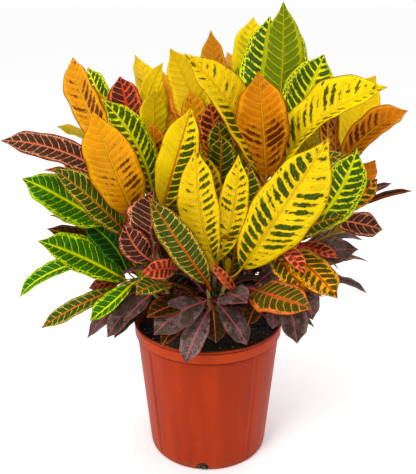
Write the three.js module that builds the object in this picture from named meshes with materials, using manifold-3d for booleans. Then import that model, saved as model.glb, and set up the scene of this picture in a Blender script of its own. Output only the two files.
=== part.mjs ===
// A croton in a nursery pot: six branched canes of broad, pointed leaves in yellow, amber, green and
// plum, rooted in dark soil in a tapered red plastic pot with a deep rim band and drain notches.
// Millimetres, +Z up. The origin is the centre of the pot's base on the floor, and the front is -Y.

import * as THREE from "three";
import { mergeVertices } from "three/addons/utils/BufferGeometryUtils.js";
import Module from "manifold-3d";

// ---- driving dimensions ------------------------------------------------------------------------

const POT_HEIGHT = 241;
const RIM_RADIUS = 127;
const BASE_RADIUS = 103;
const BAND_HEIGHT = 22; // the upright band under the lip
const BAND_STEP = 3.6; // how far the band stands out from the tapered wall
const LIP_HEIGHT = 3.5;
const LIP_ROLL = 1.2; // how far the rolled lip stands out from the band
const WALL = 2.2;
const FLOOR = 3;
const FOOT_ROUND = 4; // radius of the edge between wall and base
const POT_SIDES = 36;
const DRAIN_COUNT = 4;
const DRAIN_TURN = -5; // degrees from straight ahead to the front notch
const DRAIN_WIDTH = 20;
const DRAIN_HEIGHT = 16;
const DRAIN_REACH = 16; // how far a notch runs in under the pot
const GROOVE_WIDTH = 5; // the mould lines down the wall, midway between the notches
const GROOVE_DEPTH = 0.7;

const GAP = 0.3; // between pieces that touch
const SOIL_EDGE = 220; // height of the soil at the wall
const SOIL_CROWN = 226; // and in the middle
const SOIL_SIDES = 18;
const ROOT_DEPTH = 162; // height of the cut end of each cane, down in the soil

const CANE_RADIUS = 6.5;
const SHOOT_RADIUS = 4.2;
const CANE_SIDES = 5;
const PETIOLE_RADIUS = 1.7;
const BLADE_THICKNESS = 0.8;
const LONG_LEAF = 150; // a blade this long is cut at the longer list of stations
const LONG_STATIONS = [0, 0.18, 0.45, 0.76, 1]; // shares of the blade's length
const SHORT_STATIONS = [0.24, 0.62, 1];
const BASE_POWER = 0.72; // how full the blade is towards its base
const TIP_POWER = 0.85; // and towards its tip
const MARGIN_WAVE = 0.07; // rise of the wavy margin, as a share of the blade's width
const WAVE_TURNS = 1.4;

// Which way a leaf's upper face looks.
const FRONT = [0, -1, 0.3];
const FRONT_UP = [0, -0.6, 0.8];
const FRONT_LEFT = [-0.6, -0.75, 0.2];
const FRONT_RIGHT = [0.6, -0.75, 0.2];
const UP = [0, -0.2, 1];
const BACK = [0, 1, 0.3];
const BACK_UP = [0, 0.5, 0.8];
const BACK_LEFT = [-0.6, 0.75, 0.3];

// ---- the canes, their shoots and their leaves --------------------------------------------------

// A cane stands at foot and forks at the given height. Each shoot runs from the fork to its top.
// A leaf is [blade base, blade tip, width, facing, arch, bend, fold], with the bow of the midrib out
// of the blade (arch) and in its plane (bend) in millimetres, and the rise of its halves in degrees.
// A fan is a spray of leaves inside the plant or on its far side, placed by the rule in fanLeaves.
const CANES = [
  {
    name: "cane_left",
    colour: 0x6f7a2a,
    foot: [-52, -22],
    fork: 252,
    shoots: [
      {
        top: [-108, -52, 328],
        leaves: [
          [[-130, -65, 335], [-250, -110, 420], 62, FRONT_UP, 8, 0, 12],
          [[-130, -50, 345], [-195, -60, 435], 52, FRONT_UP, 10, 8, 15],
          [[-145, -40, 365], [-250, -55, 420], 36, FRONT_UP, 6, 0, 20],
          [[-195, -20, 350], [-310, -40, 295], 34, FRONT_UP, 22, 0, 25],
          [[-140, -60, 320], [-265, -90, 265], 32, FRONT_UP, 10, 0, 15],
          [[-120, -80, 335], [-180, -125, 295], 36, FRONT_UP, 8, -6, 35],
          [[-115, -45, 312], [-200, -60, 230], 26, FRONT_UP, 8, 0, 10],
          [[-105, -68, 312], [-160, -95, 250], 34, FRONT_UP, 10, 0, 10],
          [[-90, -80, 318], [-130, -115, 290], 26, FRONT_UP, 4, 0, 10],
          [[-135, -25, 320], [-200, -15, 300], 26, FRONT_UP, 4, 0, 10],
        ],
      },
      {
        top: [-82, -82, 378],
        leaves: [
          [[-85, -100, 380], [-80, -150, 500], 80, FRONT_LEFT, 0, 0, 45],
          [[-88, -95, 375], [-125, -120, 395], 36, FRONT, 4, 0, -15],
          [[-60, -110, 362], [-80, -180, 405], 38, FRONT_UP, 6, 0, 20],
          [[-60, -105, 345], [-100, -185, 368], 42, FRONT_UP, 8, 0, 15],
        ],
      },
      {
        top: [-105, -42, 452],
        leaves: [
          [[-110, -75, 445], [-150, -160, 615], 76, FRONT, 10, 0, 8],
          [[-120, -80, 415], [-210, -150, 540], 56, FRONT_UP, 6, 0, 12],
          [[-160, -50, 425], [-270, -90, 510], 72, FRONT_UP, 4, 0, 8],
          [[-150, -30, 495], [-305, -60, 560], 52, FRONT_UP, 10, 8, 10],
          [[-155, -50, 480], [-240, -80, 520], 32, UP, 8, 0, 10],
          [[-85, -40, 460], [-150, -70, 620], 60, FRONT_RIGHT, 12, 10, 12],
          [[-85, -62, 460], [-25, -90, 615], 55, FRONT, 8, 0, 10],
          [[-75, -70, 445], [-25, -115, 605], 46, FRONT, 6, 0, 20],
        ],
      },
    ],
    fans: [
      { top: [-138, 18, 405], count: 7, azimuth: [150, 215], rise: [50, -5], length: 135, width: 50 },
      { top: [-92, 8, 318], count: 5, azimuth: [150, 225], rise: [22, -20], length: 95, width: 34 },
    ],
  },
  {
    name: "cane_back_left",
    colour: 0xb08a2a,
    foot: [-42, 38],
    fork: 258,
    shoots: [
      {
        top: [-122, 18, 528],
        leaves: [
          [[-150, -10, 540], [-210, 25, 670], 66, FRONT_LEFT, 8, -6, 10],
          [[-145, 8, 540], [-175, 30, 620], 28, BACK, 0, 0, 10],
          [[-140, 30, 545], [-200, 90, 650], 50, FRONT_LEFT, 0, 0, 0],
          [[-112, 8, 540], [-140, 45, 640], 55, FRONT, 4, 0, 10],
          [[-108, 40, 560], [-75, 100, 655], 30, BACK, 0, 6, 0],
          [[-88, 8, 518], [-85, 30, 620], 54, BACK_LEFT, 0, 0, 0],
          [[-80, -10, 505], [-85, -15, 575], 34, FRONT, 0, 0, 0],
          [[-155, 15, 525], [-240, 25, 565], 40, BACK_UP, 6, 0, 0],
        ],
      },
    ],
    fans: [
      { top: [-78, 96, 505], count: 7, azimuth: [78, 200], rise: [68, 18], length: 150, width: 60 },
      { top: [-128, 92, 395], count: 7, azimuth: [85, 200], rise: [50, 0], length: 140, width: 52 },
    ],
  },
  {
    name: "cane_front",
    colour: 0xd8b82a,
    foot: [6, -48],
    fork: 248,
    shoots: [
      {
        top: [30, -88, 352],
        leaves: [
          [[50, -110, 375], [150, -210, 590], 88, FRONT, 10, 0, 8],
          [[10, -110, 385], [-15, -190, 575], 57, FRONT, 8, -8, 8],
          [[20, -105, 380], [40, -170, 560], 46, FRONT, 4, 8, 12],
          [[35, -85, 355], [60, -100, 535], 60, FRONT, 4, 0, 6],
          [[25, -115, 335], [55, -175, 350], 46, FRONT_UP, 6, 0, 10],
          [[10, -115, 370], [-10, -130, 415], 16, FRONT, 0, 0, 10],
          [[45, -118, 335], [5, -138, 395], 16, FRONT, 0, 0, 10],
        ],
      },
      {
        top: [0, -84, 328],
        leaves: [
          [[0, -110, 350], [-75, -215, 515], 48, FRONT, 6, 0, 14],
          [[-25, -95, 318], [-90, -150, 315], 38, FRONT_UP, 4, 0, 10],
          [[-5, -105, 318], [-80, -155, 288], 52, FRONT_UP, 8, 4, 8],
          [[0, -112, 305], [-35, -165, 245], 38, FRONT_UP, 10, 0, 10],
          [[-35, -105, 298], [-70, -150, 265], 24, FRONT_UP, 4, 0, 10],
          [[18, -100, 308], [60, -132, 258], 38, FRONT_UP, 8, 0, 10],
          [[8, -100, 302], [12, -125, 258], 36, FRONT_UP, 5, 0, 10],
        ],
      },
    ],
    fans: [
      { top: [18, -62, 440], count: 6, azimuth: [215, 330], rise: [75, 40], length: 115, width: 46 },
    ],
  },
  {
    name: "cane_tall",
    colour: 0xd9a02c,
    foot: [46, 8],
    fork: 275,
    shoots: [
      {
        top: [92, -12, 505],
        leaves: [
          [[90, -40, 495], [70, -90, 660], 80, FRONT, 6, 0, 10],
          [[105, -40, 500], [250, -80, 640], 84, FRONT_UP, 18, -14, 25],
          [[80, -45, 500], [-30, -90, 685], 72, FRONT_RIGHT, 12, 10, 25],
          [[80, -30, 490], [15, -30, 595], 26, FRONT, 4, 6, 40],
          [[105, 5, 530], [115, 50, 750], 56, BACK_LEFT, 6, -6, 15],
          [[94, 25, 525], [100, 90, 730], 72, FRONT, 6, -8, 0],
          [[118, 32, 522], [135, 100, 735], 74, FRONT_RIGHT, 6, 6, 0],
          [[118, -5, 530], [180, 30, 675], 66, FRONT_RIGHT, 4, 0, 5],
          [[95, -50, 485], [200, -85, 545], 44, FRONT_UP, 8, 0, 10],
        ],
      },
      {
        top: [18, 24, 505],
        leaves: [
          [[-5, 15, 528], [-60, 70, 680], 60, BACK, 0, -8, -10],
          [[-12, 35, 520], [-60, 90, 625], 42, FRONT, 0, 0, 0],
          [[25, 0, 505], [0, 20, 605], 56, FRONT, 0, 0, 0],
          [[25, -20, 495], [15, -40, 585], 46, FRONT, 4, 0, 8],
          [[30, 50, 550], [5, 120, 705], 46, BACK, 0, 4, 0],
          [[45, 50, 550], [50, 110, 650], 26, FRONT, 0, 0, 30],
          [[5, 5, 515], [-20, 5, 635], 42, FRONT, 0, 0, 0],
        ],
      },
    ],
    fans: [
      { top: [52, 52, 450], count: 6, azimuth: [15, 105], rise: [70, 20], length: 130, width: 50 },
      { top: [70, 100, 545], count: 8, azimuth: [15, 150], rise: [74, 28], length: 165, width: 64 },
    ],
  },
  {
    name: "cane_right",
    colour: 0x8a4a2a,
    foot: [58, -38],
    fork: 262,
    shoots: [
      {
        top: [112, -70, 395],
        leaves: [
          [[120, -95, 400], [180, -190, 365], 56, FRONT_UP, 6, 0, 6],
          [[95, -90, 395], [140, -155, 358], 40, FRONT_UP, 4, 0, 6],
          [[105, -100, 412], [135, -175, 395], 28, FRONT_UP, 4, 0, 20],
          [[145, -50, 365], [230, -80, 395], 50, FRONT_UP, 8, 0, 8],
          [[135, -75, 400], [190, -130, 400], 26, FRONT_UP, 4, 0, 20],
          [[120, -75, 412], [195, -125, 462], 48, FRONT_UP, 6, 0, 10],
          [[75, -110, 335], [145, -205, 345], 54, FRONT_UP, 8, 6, 6],
          [[78, -98, 318], [60, -132, 292], 30, FRONT_UP, 4, 0, 6],
          [[102, -78, 308], [102, -100, 268], 24, FRONT_UP, 4, 0, 6],
          [[122, -85, 320], [135, -140, 265], 44, FRONT_UP, 6, 0, 6],
          [[142, -60, 335], [165, -92, 280], 42, FRONT_UP, 6, 0, 6],
          [[80, -80, 340], [120, -95, 375], 36, FRONT_UP, 6, 0, 6],
        ],
      },
      {
        top: [195, 5, 478],
        leaves: [
          [[228, 15, 508], [275, 90, 635], 72, BACK, 0, 6, 0],
          [[208, -18, 512], [305, -10, 595], 60, FRONT_UP, 8, -8, 35],
          [[190, 5, 512], [194, 65, 640], 38, FRONT_RIGHT, 0, 0, 0],
          [[205, 18, 512], [210, 75, 635], 52, FRONT_RIGHT, 0, 0, 0],
          [[225, 0, 445], [265, 0, 515], 36, FRONT, 4, 0, 0],
          [[215, -25, 438], [260, -42, 495], 36, FRONT, 4, 0, 10],
          [[240, 15, 450], [300, 20, 472], 16, FRONT_UP, 0, 0, 20],
          [[225, -5, 430], [330, 0, 465], 16, FRONT_UP, 10, 0, 40],
          [[205, -30, 425], [270, -60, 420], 48, FRONT_UP, 10, 6, 10],
          [[150, -85, 425], [205, -130, 560], 62, FRONT, 6, 8, 8],
        ],
      },
    ],
    fans: [
      { top: [92, -8, 311], count: 5, azimuth: [-58, 20], rise: [22, -20], length: 92, width: 34 },
      { top: [150, 20, 400], count: 7, azimuth: [-30, 32], rise: [50, -8], length: 135, width: 50 },
      { top: [150, 88, 425], count: 7, azimuth: [-20, 95], rise: [60, 5], length: 145, width: 54 },
    ],
  },
  {
    name: "cane_back",
    colour: 0x5c6a2c,
    foot: [2, 62],
    fork: 250,
    shoots: [],
    fans: [
      { top: [-10, 96, 415], count: 6, azimuth: [45, 140], rise: [72, 15], length: 125, width: 48 },
      { top: [0, 108, 335], count: 4, azimuth: [65, 115], rise: [20, -20], length: 105, width: 38 },
      { top: [-5, 150, 398], count: 7, azimuth: [40, 150], rise: [54, 5], length: 150, width: 56 },
      { top: [-72, 128, 322], count: 6, azimuth: [95, 190], rise: [25, -25], length: 115, width: 42 },
      { top: [72, 128, 322], count: 6, azimuth: [-10, 85], rise: [25, -25], length: 115, width: 42 },
    ],
  },
];

const FAN_SPACING = 15; // between one leaf of a fan and the next, down the shoot
const FAN_PETIOLE = 22;
const FAN_ARCH = 0.09; // as a share of the leaf's length
const FAN_FOLD = 10;
const FAN_TAPER = 0.25; // how much shorter the lowest leaf is than the topmost
const GOLDEN_SHARE = 0.618;

// ---- solids ------------------------------------------------------------------------------------

const wasm = await Module();
wasm.setup();

/** A manifold solid of a closed geometry. */
function toSolid(geometry) {
  const bare = geometry.index ? geometry.toNonIndexed() : geometry.clone();
  for (const name of Object.keys(bare.attributes)) {
    if (name !== "position") bare.deleteAttribute(name);
  }
  const merged = mergeVertices(bare, 1e-4);
  return new wasm.Manifold(
    new wasm.Mesh({
      numProp: 3,
      vertProperties: new Float32Array(merged.attributes.position.array),
      triVerts: new Uint32Array(merged.index.array),
    }),
  );
}

/** The geometry of a manifold solid. */
function toGeometry(solid) {
  const mesh = solid.getMesh();
  const geometry = new THREE.BufferGeometry();
  geometry.setAttribute("position", new THREE.BufferAttribute(mesh.vertProperties, 3));
  geometry.setIndex(new THREE.BufferAttribute(mesh.triVerts, 1));
  geometry.computeVertexNormals();
  return geometry;
}

/** The joint solid of several, as one. */
function fuse(solids) {
  return solids.reduce((whole, solid) => whole.add(solid));
}

/** A solid of revolution about +Z of a closed profile of [radius, height] points. */
function turned(profile, sides) {
  const points = profile.map(([radius, height]) => new THREE.Vector2(radius, height));
  const geometry = new THREE.LatheGeometry(points, sides);
  geometry.rotateX(Math.PI / 2);
  return toSolid(geometry);
}

/** A named mesh in its material. */
function piece(name, solid, colour, roughness) {
  const material = new THREE.MeshStandardMaterial({ color: colour, roughness, metalness: 0 });
  const mesh = new THREE.Mesh(toGeometry(solid), material);
  mesh.name = name;
  return mesh;
}

// ---- pot and soil ------------------------------------------------------------------------------

const bandFoot = POT_HEIGHT - BAND_HEIGHT;
const bodyTopRadius = RIM_RADIUS - LIP_ROLL - BAND_STEP;
const taper = (bodyTopRadius - BASE_RADIUS) / bandFoot;

/** The outer radius of the tapered wall at a height. */
function wallRadius(height) {
  return BASE_RADIUS + taper * height;
}

/** One drain notch: an arch cut through the wall and in under the base, at the front. */
function drainNotch() {
  const half = DRAIN_WIDTH / 2;
  const arch = new THREE.Shape();
  arch.moveTo(-half, -1);
  arch.lineTo(half, -1);
  arch.lineTo(half, DRAIN_HEIGHT - half);
  arch.absarc(0, DRAIN_HEIGHT - half, half, 0, Math.PI, false);
  arch.closePath();
  const options = { depth: DRAIN_REACH + 6, bevelEnabled: false, curveSegments: 6 };
  const geometry = new THREE.ExtrudeGeometry(arch, options);
  geometry.rotateX(Math.PI / 2);
  geometry.translate(0, DRAIN_REACH - BASE_RADIUS, 0);
  return geometry;
}

/** One mould line: a shallow channel down the tapered wall, at the front. */
function mouldLine() {
  const outside = 3;
  const side = new THREE.Shape();
  side.moveTo(-(BASE_RADIUS - GROOVE_DEPTH), -1);
  side.lineTo(-(bodyTopRadius - GROOVE_DEPTH), bandFoot - 1);
  side.lineTo(-(bodyTopRadius + outside), bandFoot - 1);
  side.lineTo(-(BASE_RADIUS + outside), -1);
  side.closePath();
  const geometry = new THREE.ExtrudeGeometry(side, { depth: GROOVE_WIDTH, bevelEnabled: false });
  geometry.rotateX(Math.PI / 2);
  geometry.rotateZ(Math.PI / 2);
  geometry.translate(-GROOVE_WIDTH / 2, 0, 0);
  return geometry;
}

function pot() {
  const bandRadius = RIM_RADIUS - LIP_ROLL;
  const lipFoot = POT_HEIGHT - LIP_HEIGHT;
  const profile = [
    [0, 0],
    [BASE_RADIUS - FOOT_ROUND, 0],
    [BASE_RADIUS - FOOT_ROUND * 0.3, FOOT_ROUND * 0.3],
    [wallRadius(FOOT_ROUND), FOOT_ROUND],
    [bodyTopRadius, bandFoot],
    [bandRadius, bandFoot + 1],
    [bandRadius, lipFoot],
    [RIM_RADIUS, lipFoot + LIP_ROLL],
    [RIM_RADIUS, POT_HEIGHT - LIP_ROLL],
    [RIM_RADIUS - LIP_ROLL, POT_HEIGHT],
    [bandRadius - WALL, POT_HEIGHT],
    [bandRadius - WALL, bandFoot + WALL],
    [bodyTopRadius - WALL, bandFoot],
    [wallRadius(FLOOR) - WALL, FLOOR],
    [0, FLOOR],
    [0, 0],
  ];
  let body = turned(profile, POT_SIDES);
  for (let i = 0; i < DRAIN_COUNT; i += 1) {
    const turn = THREE.MathUtils.degToRad(DRAIN_TURN + (360 / DRAIN_COUNT) * i);
    const between = THREE.MathUtils.degToRad((360 / DRAIN_COUNT) * (i + 0.5));
    body = body.subtract(toSolid(drainNotch().rotateZ(turn)));
    body = body.subtract(toSolid(mouldLine().rotateZ(between)));
  }
  return piece("pot", body, 0xc2421d, 0.45);
}

/** The plain hole in the soil that one cane stands in. */
function caneHole([x, y]) {
  const sides = 8;
  const radius = (CANE_RADIUS + GAP) / Math.cos(Math.PI / sides);
  const depth = SOIL_CROWN + 5 - (ROOT_DEPTH - GAP);
  const geometry = new THREE.CylinderGeometry(radius, radius, depth, sides);
  geometry.rotateX(Math.PI / 2);
  geometry.translate(x, y, ROOT_DEPTH - GAP + depth / 2);
  return toSolid(geometry);
}

function soil() {
  const bottom = FLOOR + GAP;
  const edge = wallRadius(SOIL_EDGE - 4) - WALL - GAP;
  const profile = [
    [0, bottom],
    [wallRadius(bottom) - WALL - GAP, bottom],
    [edge - 0.6, SOIL_EDGE - 4],
    [edge - 3, SOIL_EDGE],
    [edge * 0.7, SOIL_EDGE + 3],
    [edge * 0.35, SOIL_CROWN - 1],
    [0, SOIL_CROWN],
    [0, bottom],
  ];
  const holes = CANES.map((cane) => caneHole(cane.foot));
  const bed = holes.reduce((rest, hole) => rest.subtract(hole), turned(profile, SOIL_SIDES));
  return piece("soil", bed, 0x2b211b, 0.95);
}

// ---- canes -------------------------------------------------------------------------------------

/** A round stem along a smooth path through the points. */
function stem(points, radius, steps) {
  const outline = new THREE.Shape();
  for (let i = 0; i < CANE_SIDES; i += 1) {
    const angle = (2 * Math.PI * i) / CANE_SIDES;
    const [x, y] = [radius * Math.cos(angle), radius * Math.sin(angle)];
    if (i === 0) outline.moveTo(x, y);
    else outline.lineTo(x, y);
  }
  outline.closePath();
  const path = new THREE.CatmullRomCurve3(points.map((p) => new THREE.Vector3(...p)));
  return toSolid(new THREE.ExtrudeGeometry(outline, { steps, extrudePath: path, bevelEnabled: false }));
}

/** The half width of a blade at a share of its length. */
function halfWidth(width, t) {
  const shape = (s) => s ** BASE_POWER * (1 - s) ** TIP_POWER;
  const fullest = BASE_POWER / (BASE_POWER + TIP_POWER);
  return ((width / 2) * shape(t)) / shape(fullest);
}

/** Where a petiole leaves its shoot: lower than the blade by a share of the distance across. */
function petioleRoot(base, fork, top) {
  const across = Math.hypot(base.x - top.x, base.y - top.y);
  const share = (base.z - 0.6 * across - fork.z) / (top.z - fork.z);
  return new THREE.Vector3().lerpVectors(fork, top, THREE.MathUtils.clamp(share, 0.4, 0.96));
}

/** One ring of a leaf: left, middle and right of its upper face, then of its lower face. */
function ring(centre, side, normal, half, rise, thickness) {
  const at = (across, up) =>
    centre.clone().addScaledVector(side, across).addScaledVector(normal, up);
  const skin = thickness / 2;
  return [
    at(-half, rise[0] + skin),
    at(0, skin),
    at(half, rise[1] + skin),
    at(half, rise[1] - skin),
    at(0, -skin),
    at(-half, rise[0] - skin),
  ];
}

/** A leaf's rings, from the root of its petiole to the tip of its blade. */
function leafRings([from, to, width, facing, arch, bend, fold], fork, top, number) {
  const base = new THREE.Vector3(...from);
  const run = new THREE.Vector3(...to).sub(base);
  const along = run.clone().normalize();
  const normal = new THREE.Vector3(...facing);
  normal.addScaledVector(along, -normal.dot(along)).normalize();
  const across = new THREE.Vector3().crossVectors(along, normal);
  const bow = normal.clone().multiplyScalar(arch).addScaledVector(across, bend);
  const angle = THREE.MathUtils.degToRad(fold);
  const frameAt = (t) => {
    const centre = base.clone().addScaledVector(run, t).addScaledVector(bow, 4 * t * (1 - t));
    const heading = run.clone().addScaledVector(bow, 4 * (1 - 2 * t)).normalize();
    const up = normal.clone().addScaledVector(heading, -normal.dot(heading)).normalize();
    return { centre, up, side: new THREE.Vector3().crossVectors(heading, up) };
  };
  const start = frameAt(0);
  const root = petioleRoot(base, fork, top);
  const girth = 2 * PETIOLE_RADIUS;
  const rings = [ring(root, start.side, start.up, PETIOLE_RADIUS, [0, 0], girth)];
  for (const t of run.length() < LONG_LEAF ? SHORT_STATIONS : LONG_STATIONS) {
    const { centre, up, side } = frameAt(t);
    if (t === 0) {
      rings.push(ring(centre, side, up, PETIOLE_RADIUS, [0, 0], girth));
      continue;
    }
    const half = halfWidth(width, t);
    const wave = MARGIN_WAVE * half;
    const phase = 2 * Math.PI * WAVE_TURNS * t + number;
    const lift = half * Math.sin(angle);
    const rise = [lift + wave * Math.sin(phase), lift + wave * Math.sin(phase + 2)];
    rings.push(ring(centre, side, up, half * Math.cos(angle), rise, BLADE_THICKNESS));
  }
  return rings;
}

/**
 * The closed solid through a leaf's rings, cut into triangles alike on both faces. The last ring is
 * the tip, where left, middle and right meet, so triangles with no area are left out there.
 */
function leafSolid(rings) {
  const corners = 6;
  const triangles = [];
  const add = (a, b, c) => {
    if (!a.equals(b) && !b.equals(c) && !c.equals(a)) triangles.push(a, b, c);
  };
  for (let i = 0; i < rings.length - 1; i += 1) {
    const [here, next] = [rings[i], rings[i + 1]];
    for (let k = 0; k < corners; k += 1) {
      const m = (k + 1) % corners;
      const lowerFace = k === 3 || k === 4;
      const opposite = lowerFace ? [next[k], here[m]] : [next[m], here[k]];
      add(here[k], here[m], opposite[0]);
      add(opposite[1], next[m], next[k]);
    }
  }
  for (const [a, b, c] of [[0, 5, 4], [0, 4, 1], [1, 4, 3], [1, 3, 2]]) {
    add(rings[0][a], rings[0][b], rings[0][c]);
  }
  return toSolid(new THREE.BufferGeometry().setFromPoints(triangles));
}

/** The leaves of a fan, stepping round by the golden share and lying lower down the shoot. */
function fanLeaves({ top, count, azimuth, rise, length, width }) {
  const leaves = [];
  for (let i = 0; i < count; i += 1) {
    const share = i / (count - 1);
    const turn = (0.5 + GOLDEN_SHARE * i) % 1;
    const heading = THREE.MathUtils.degToRad(THREE.MathUtils.lerp(...azimuth, turn));
    const slope = THREE.MathUtils.degToRad(THREE.MathUtils.lerp(...rise, share));
    const size = 1 - FAN_TAPER * share;
    const out = [Math.cos(heading), Math.sin(heading)];
    const step = (distance) => [
      top[0] + distance * Math.cos(slope) * out[0],
      top[1] + distance * Math.cos(slope) * out[1],
      top[2] - FAN_SPACING * i + distance * Math.sin(slope),
    ];
    const facing = [-Math.sin(slope) * out[0], -Math.sin(slope) * out[1], Math.cos(slope)];
    const arch = FAN_ARCH * length * size;
    const tip = step(FAN_PETIOLE + length * size);
    leaves.push([step(FAN_PETIOLE), tip, width * size, facing, arch, 0, FAN_FOLD]);
  }
  return leaves;
}

/** A whole cane: its woody foot, its shoots and all their leaves, fused into one solid. */
function cane({ name, colour, foot, fork, shoots, fans = [] }) {
  const forkPoint = new THREE.Vector3(...foot, fork);
  const solids = [stem([[...foot, ROOT_DEPTH], [...foot, fork]], CANE_RADIUS, 1)];
  const sprays = [...shoots, ...fans.map((fan) => ({ top: fan.top, leaves: fanLeaves(fan) }))];
  for (const { top, leaves } of sprays) {
    const knee = [foot[0] + (top[0] - foot[0]) * 0.45, foot[1] + (top[1] - foot[1]) * 0.45];
    const kneeHeight = fork + (top[2] - fork) * 0.45;
    const path = [[...foot, fork - 4], [...knee, kneeHeight], top];
    solids.push(stem(path, SHOOT_RADIUS, 2));
    const topPoint = new THREE.Vector3(...top);
    leaves.forEach((leaf, number) => {
      solids.push(leafSolid(leafRings(leaf, forkPoint, topPoint, number)));
    });
  }
  return piece(name, fuse(solids), colour, 0.4);
}

// ---- the whole plant ---------------------------------------------------------------------------

const group = new THREE.Group();
group.add(pot(), soil(), ...CANES.map(cane));

export default group;
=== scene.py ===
"""A croton in a nursery pot, dressed round its CAD frame.

Six branched canes carry leathery leaves in yellow, amber, green, crimson and plum. Each blade is a
thin shell with a folded, wavy surface that swells between its side veins, and each leaf finish is a
small pattern of midrib, side veins, cells, margin and flush. The pot is a spun plastic shell with
drain notches, filled with bark and perlite.

Lengths are metres. The lists that place the leaves are millimetres, as in the part's source.
"""

import logging
import math
import random
from dataclasses import dataclass, field, replace
from enum import Enum
from functools import cache

import bmesh
import bpy
from bmesh.types import BMEdge, BMesh, BMFace, BMVert
from mathutils import Matrix, Vector, noise


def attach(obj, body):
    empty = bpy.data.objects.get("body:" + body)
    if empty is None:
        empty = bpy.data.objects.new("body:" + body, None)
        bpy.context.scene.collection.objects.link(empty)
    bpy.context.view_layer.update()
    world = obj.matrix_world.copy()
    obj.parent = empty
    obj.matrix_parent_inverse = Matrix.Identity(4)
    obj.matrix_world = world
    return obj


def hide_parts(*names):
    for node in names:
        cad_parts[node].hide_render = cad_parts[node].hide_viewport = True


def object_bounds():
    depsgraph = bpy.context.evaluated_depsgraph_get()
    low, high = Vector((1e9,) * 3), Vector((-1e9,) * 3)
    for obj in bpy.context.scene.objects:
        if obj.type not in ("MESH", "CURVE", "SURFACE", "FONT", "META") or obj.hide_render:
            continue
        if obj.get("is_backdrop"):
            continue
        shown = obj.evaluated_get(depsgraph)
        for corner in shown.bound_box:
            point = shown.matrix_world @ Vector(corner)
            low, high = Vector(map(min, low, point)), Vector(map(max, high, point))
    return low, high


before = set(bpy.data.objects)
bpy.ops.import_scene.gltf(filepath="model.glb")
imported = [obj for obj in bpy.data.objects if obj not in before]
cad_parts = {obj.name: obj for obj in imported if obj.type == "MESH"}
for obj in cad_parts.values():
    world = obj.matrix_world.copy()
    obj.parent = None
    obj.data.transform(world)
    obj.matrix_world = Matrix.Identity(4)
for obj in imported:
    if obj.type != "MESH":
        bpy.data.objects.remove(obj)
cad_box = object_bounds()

log = logging.getLogger("croton")

MM = 0.001
BODY = "root"

Colour = tuple[float, float, float, float]
Point = tuple[float, float, float]
Socket = bpy.types.NodeSocket


def paint(red: int, green: int, blue: int) -> Colour:
    """Turns a display colour of 0 to 255 a channel into the linear colour that shaders take.

    Args:
        red: The red channel.
        green: The green channel.
        blue: The blue channel.

    Returns:
        The linear colour, opaque.
    """
    shares = [channel / 255 for channel in (red, green, blue)]
    linear = [s / 12.92 if s <= 0.04045 else ((s + 0.055) / 1.055) ** 2.4 for s in shares]
    return (linear[0], linear[1], linear[2], 1.0)


def scaled(colour: Colour, factor: float) -> Colour:
    """The colour made darker or lighter by a factor."""
    return (colour[0] * factor, colour[1] * factor, colour[2] * factor, colour[3])


# ---- shader graphs ----


class Number:
    """A number that a material works out at each point; arithmetic on it adds Math nodes."""

    def __init__(self, graph: "Graph", socket: Socket) -> None:
        """Wraps a socket of the graph's tree."""
        self.graph = graph
        self.socket = socket

    def _math(self, operation: str, *operands: "Number | float") -> "Number":
        """Adds one Math node on the operands, in their order."""
        return self.graph.number("ShaderNodeMath", {"operation": operation}, dict(enumerate(operands)))

    def __add__(self, other: "Number | float") -> "Number":
        """The sum."""
        return self._math("ADD", self, other)

    def __sub__(self, other: "Number | float") -> "Number":
        """The difference."""
        return self._math("SUBTRACT", self, other)

    def __rsub__(self, other: float) -> "Number":
        """The difference, with a plain number first."""
        return self._math("SUBTRACT", other, self)

    def __mul__(self, other: "Number | float") -> "Number":
        """The product."""
        return self._math("MULTIPLY", self, other)

    def __truediv__(self, other: "Number | float") -> "Number":
        """The quotient."""
        return self._math("DIVIDE", self, other)

    def __pow__(self, power: float) -> "Number":
        """The power."""
        return self._math("POWER", self, power)

    __radd__ = __add__
    __rmul__ = __mul__

    def size(self) -> "Number":
        """Its absolute value."""
        return self._math("ABSOLUTE", self)

    def fraction(self) -> "Number":
        """Its fractional part."""
        return self._math("FRACT", self)

    def whole(self) -> "Number":
        """Its whole part."""
        return self._math("FLOOR", self)

    def at_least(self, other: "Number | float") -> "Number":
        """The larger of the two."""
        return self._math("MAXIMUM", self, other)

    def at_most(self, other: "Number | float") -> "Number":
        """The smaller of the two."""
        return self._math("MINIMUM", self, other)

    def rise(self, low: float, high: float) -> "Number":
        """Goes smoothly from 0 at low to 1 at high, and falls where low is the larger.

        Args:
            low: The value at which the result is 0.
            high: The value at which the result is 1.

        Returns:
            The smooth step, held at 0 and 1 outside the two.
        """
        settings = {"interpolation_type": "SMOOTHSTEP"}
        return self.graph.number(
            "ShaderNodeMapRange", settings, {"Value": self, "From Min": low, "From Max": high}
        )

    def between(self, start: float, full: float, fade: float, stop: float) -> "Number":
        """Goes smoothly from 0 at start to 1 from full to fade, and back to 0 at stop."""
        return self.rise(start, full) * self.rise(stop, fade)


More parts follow.
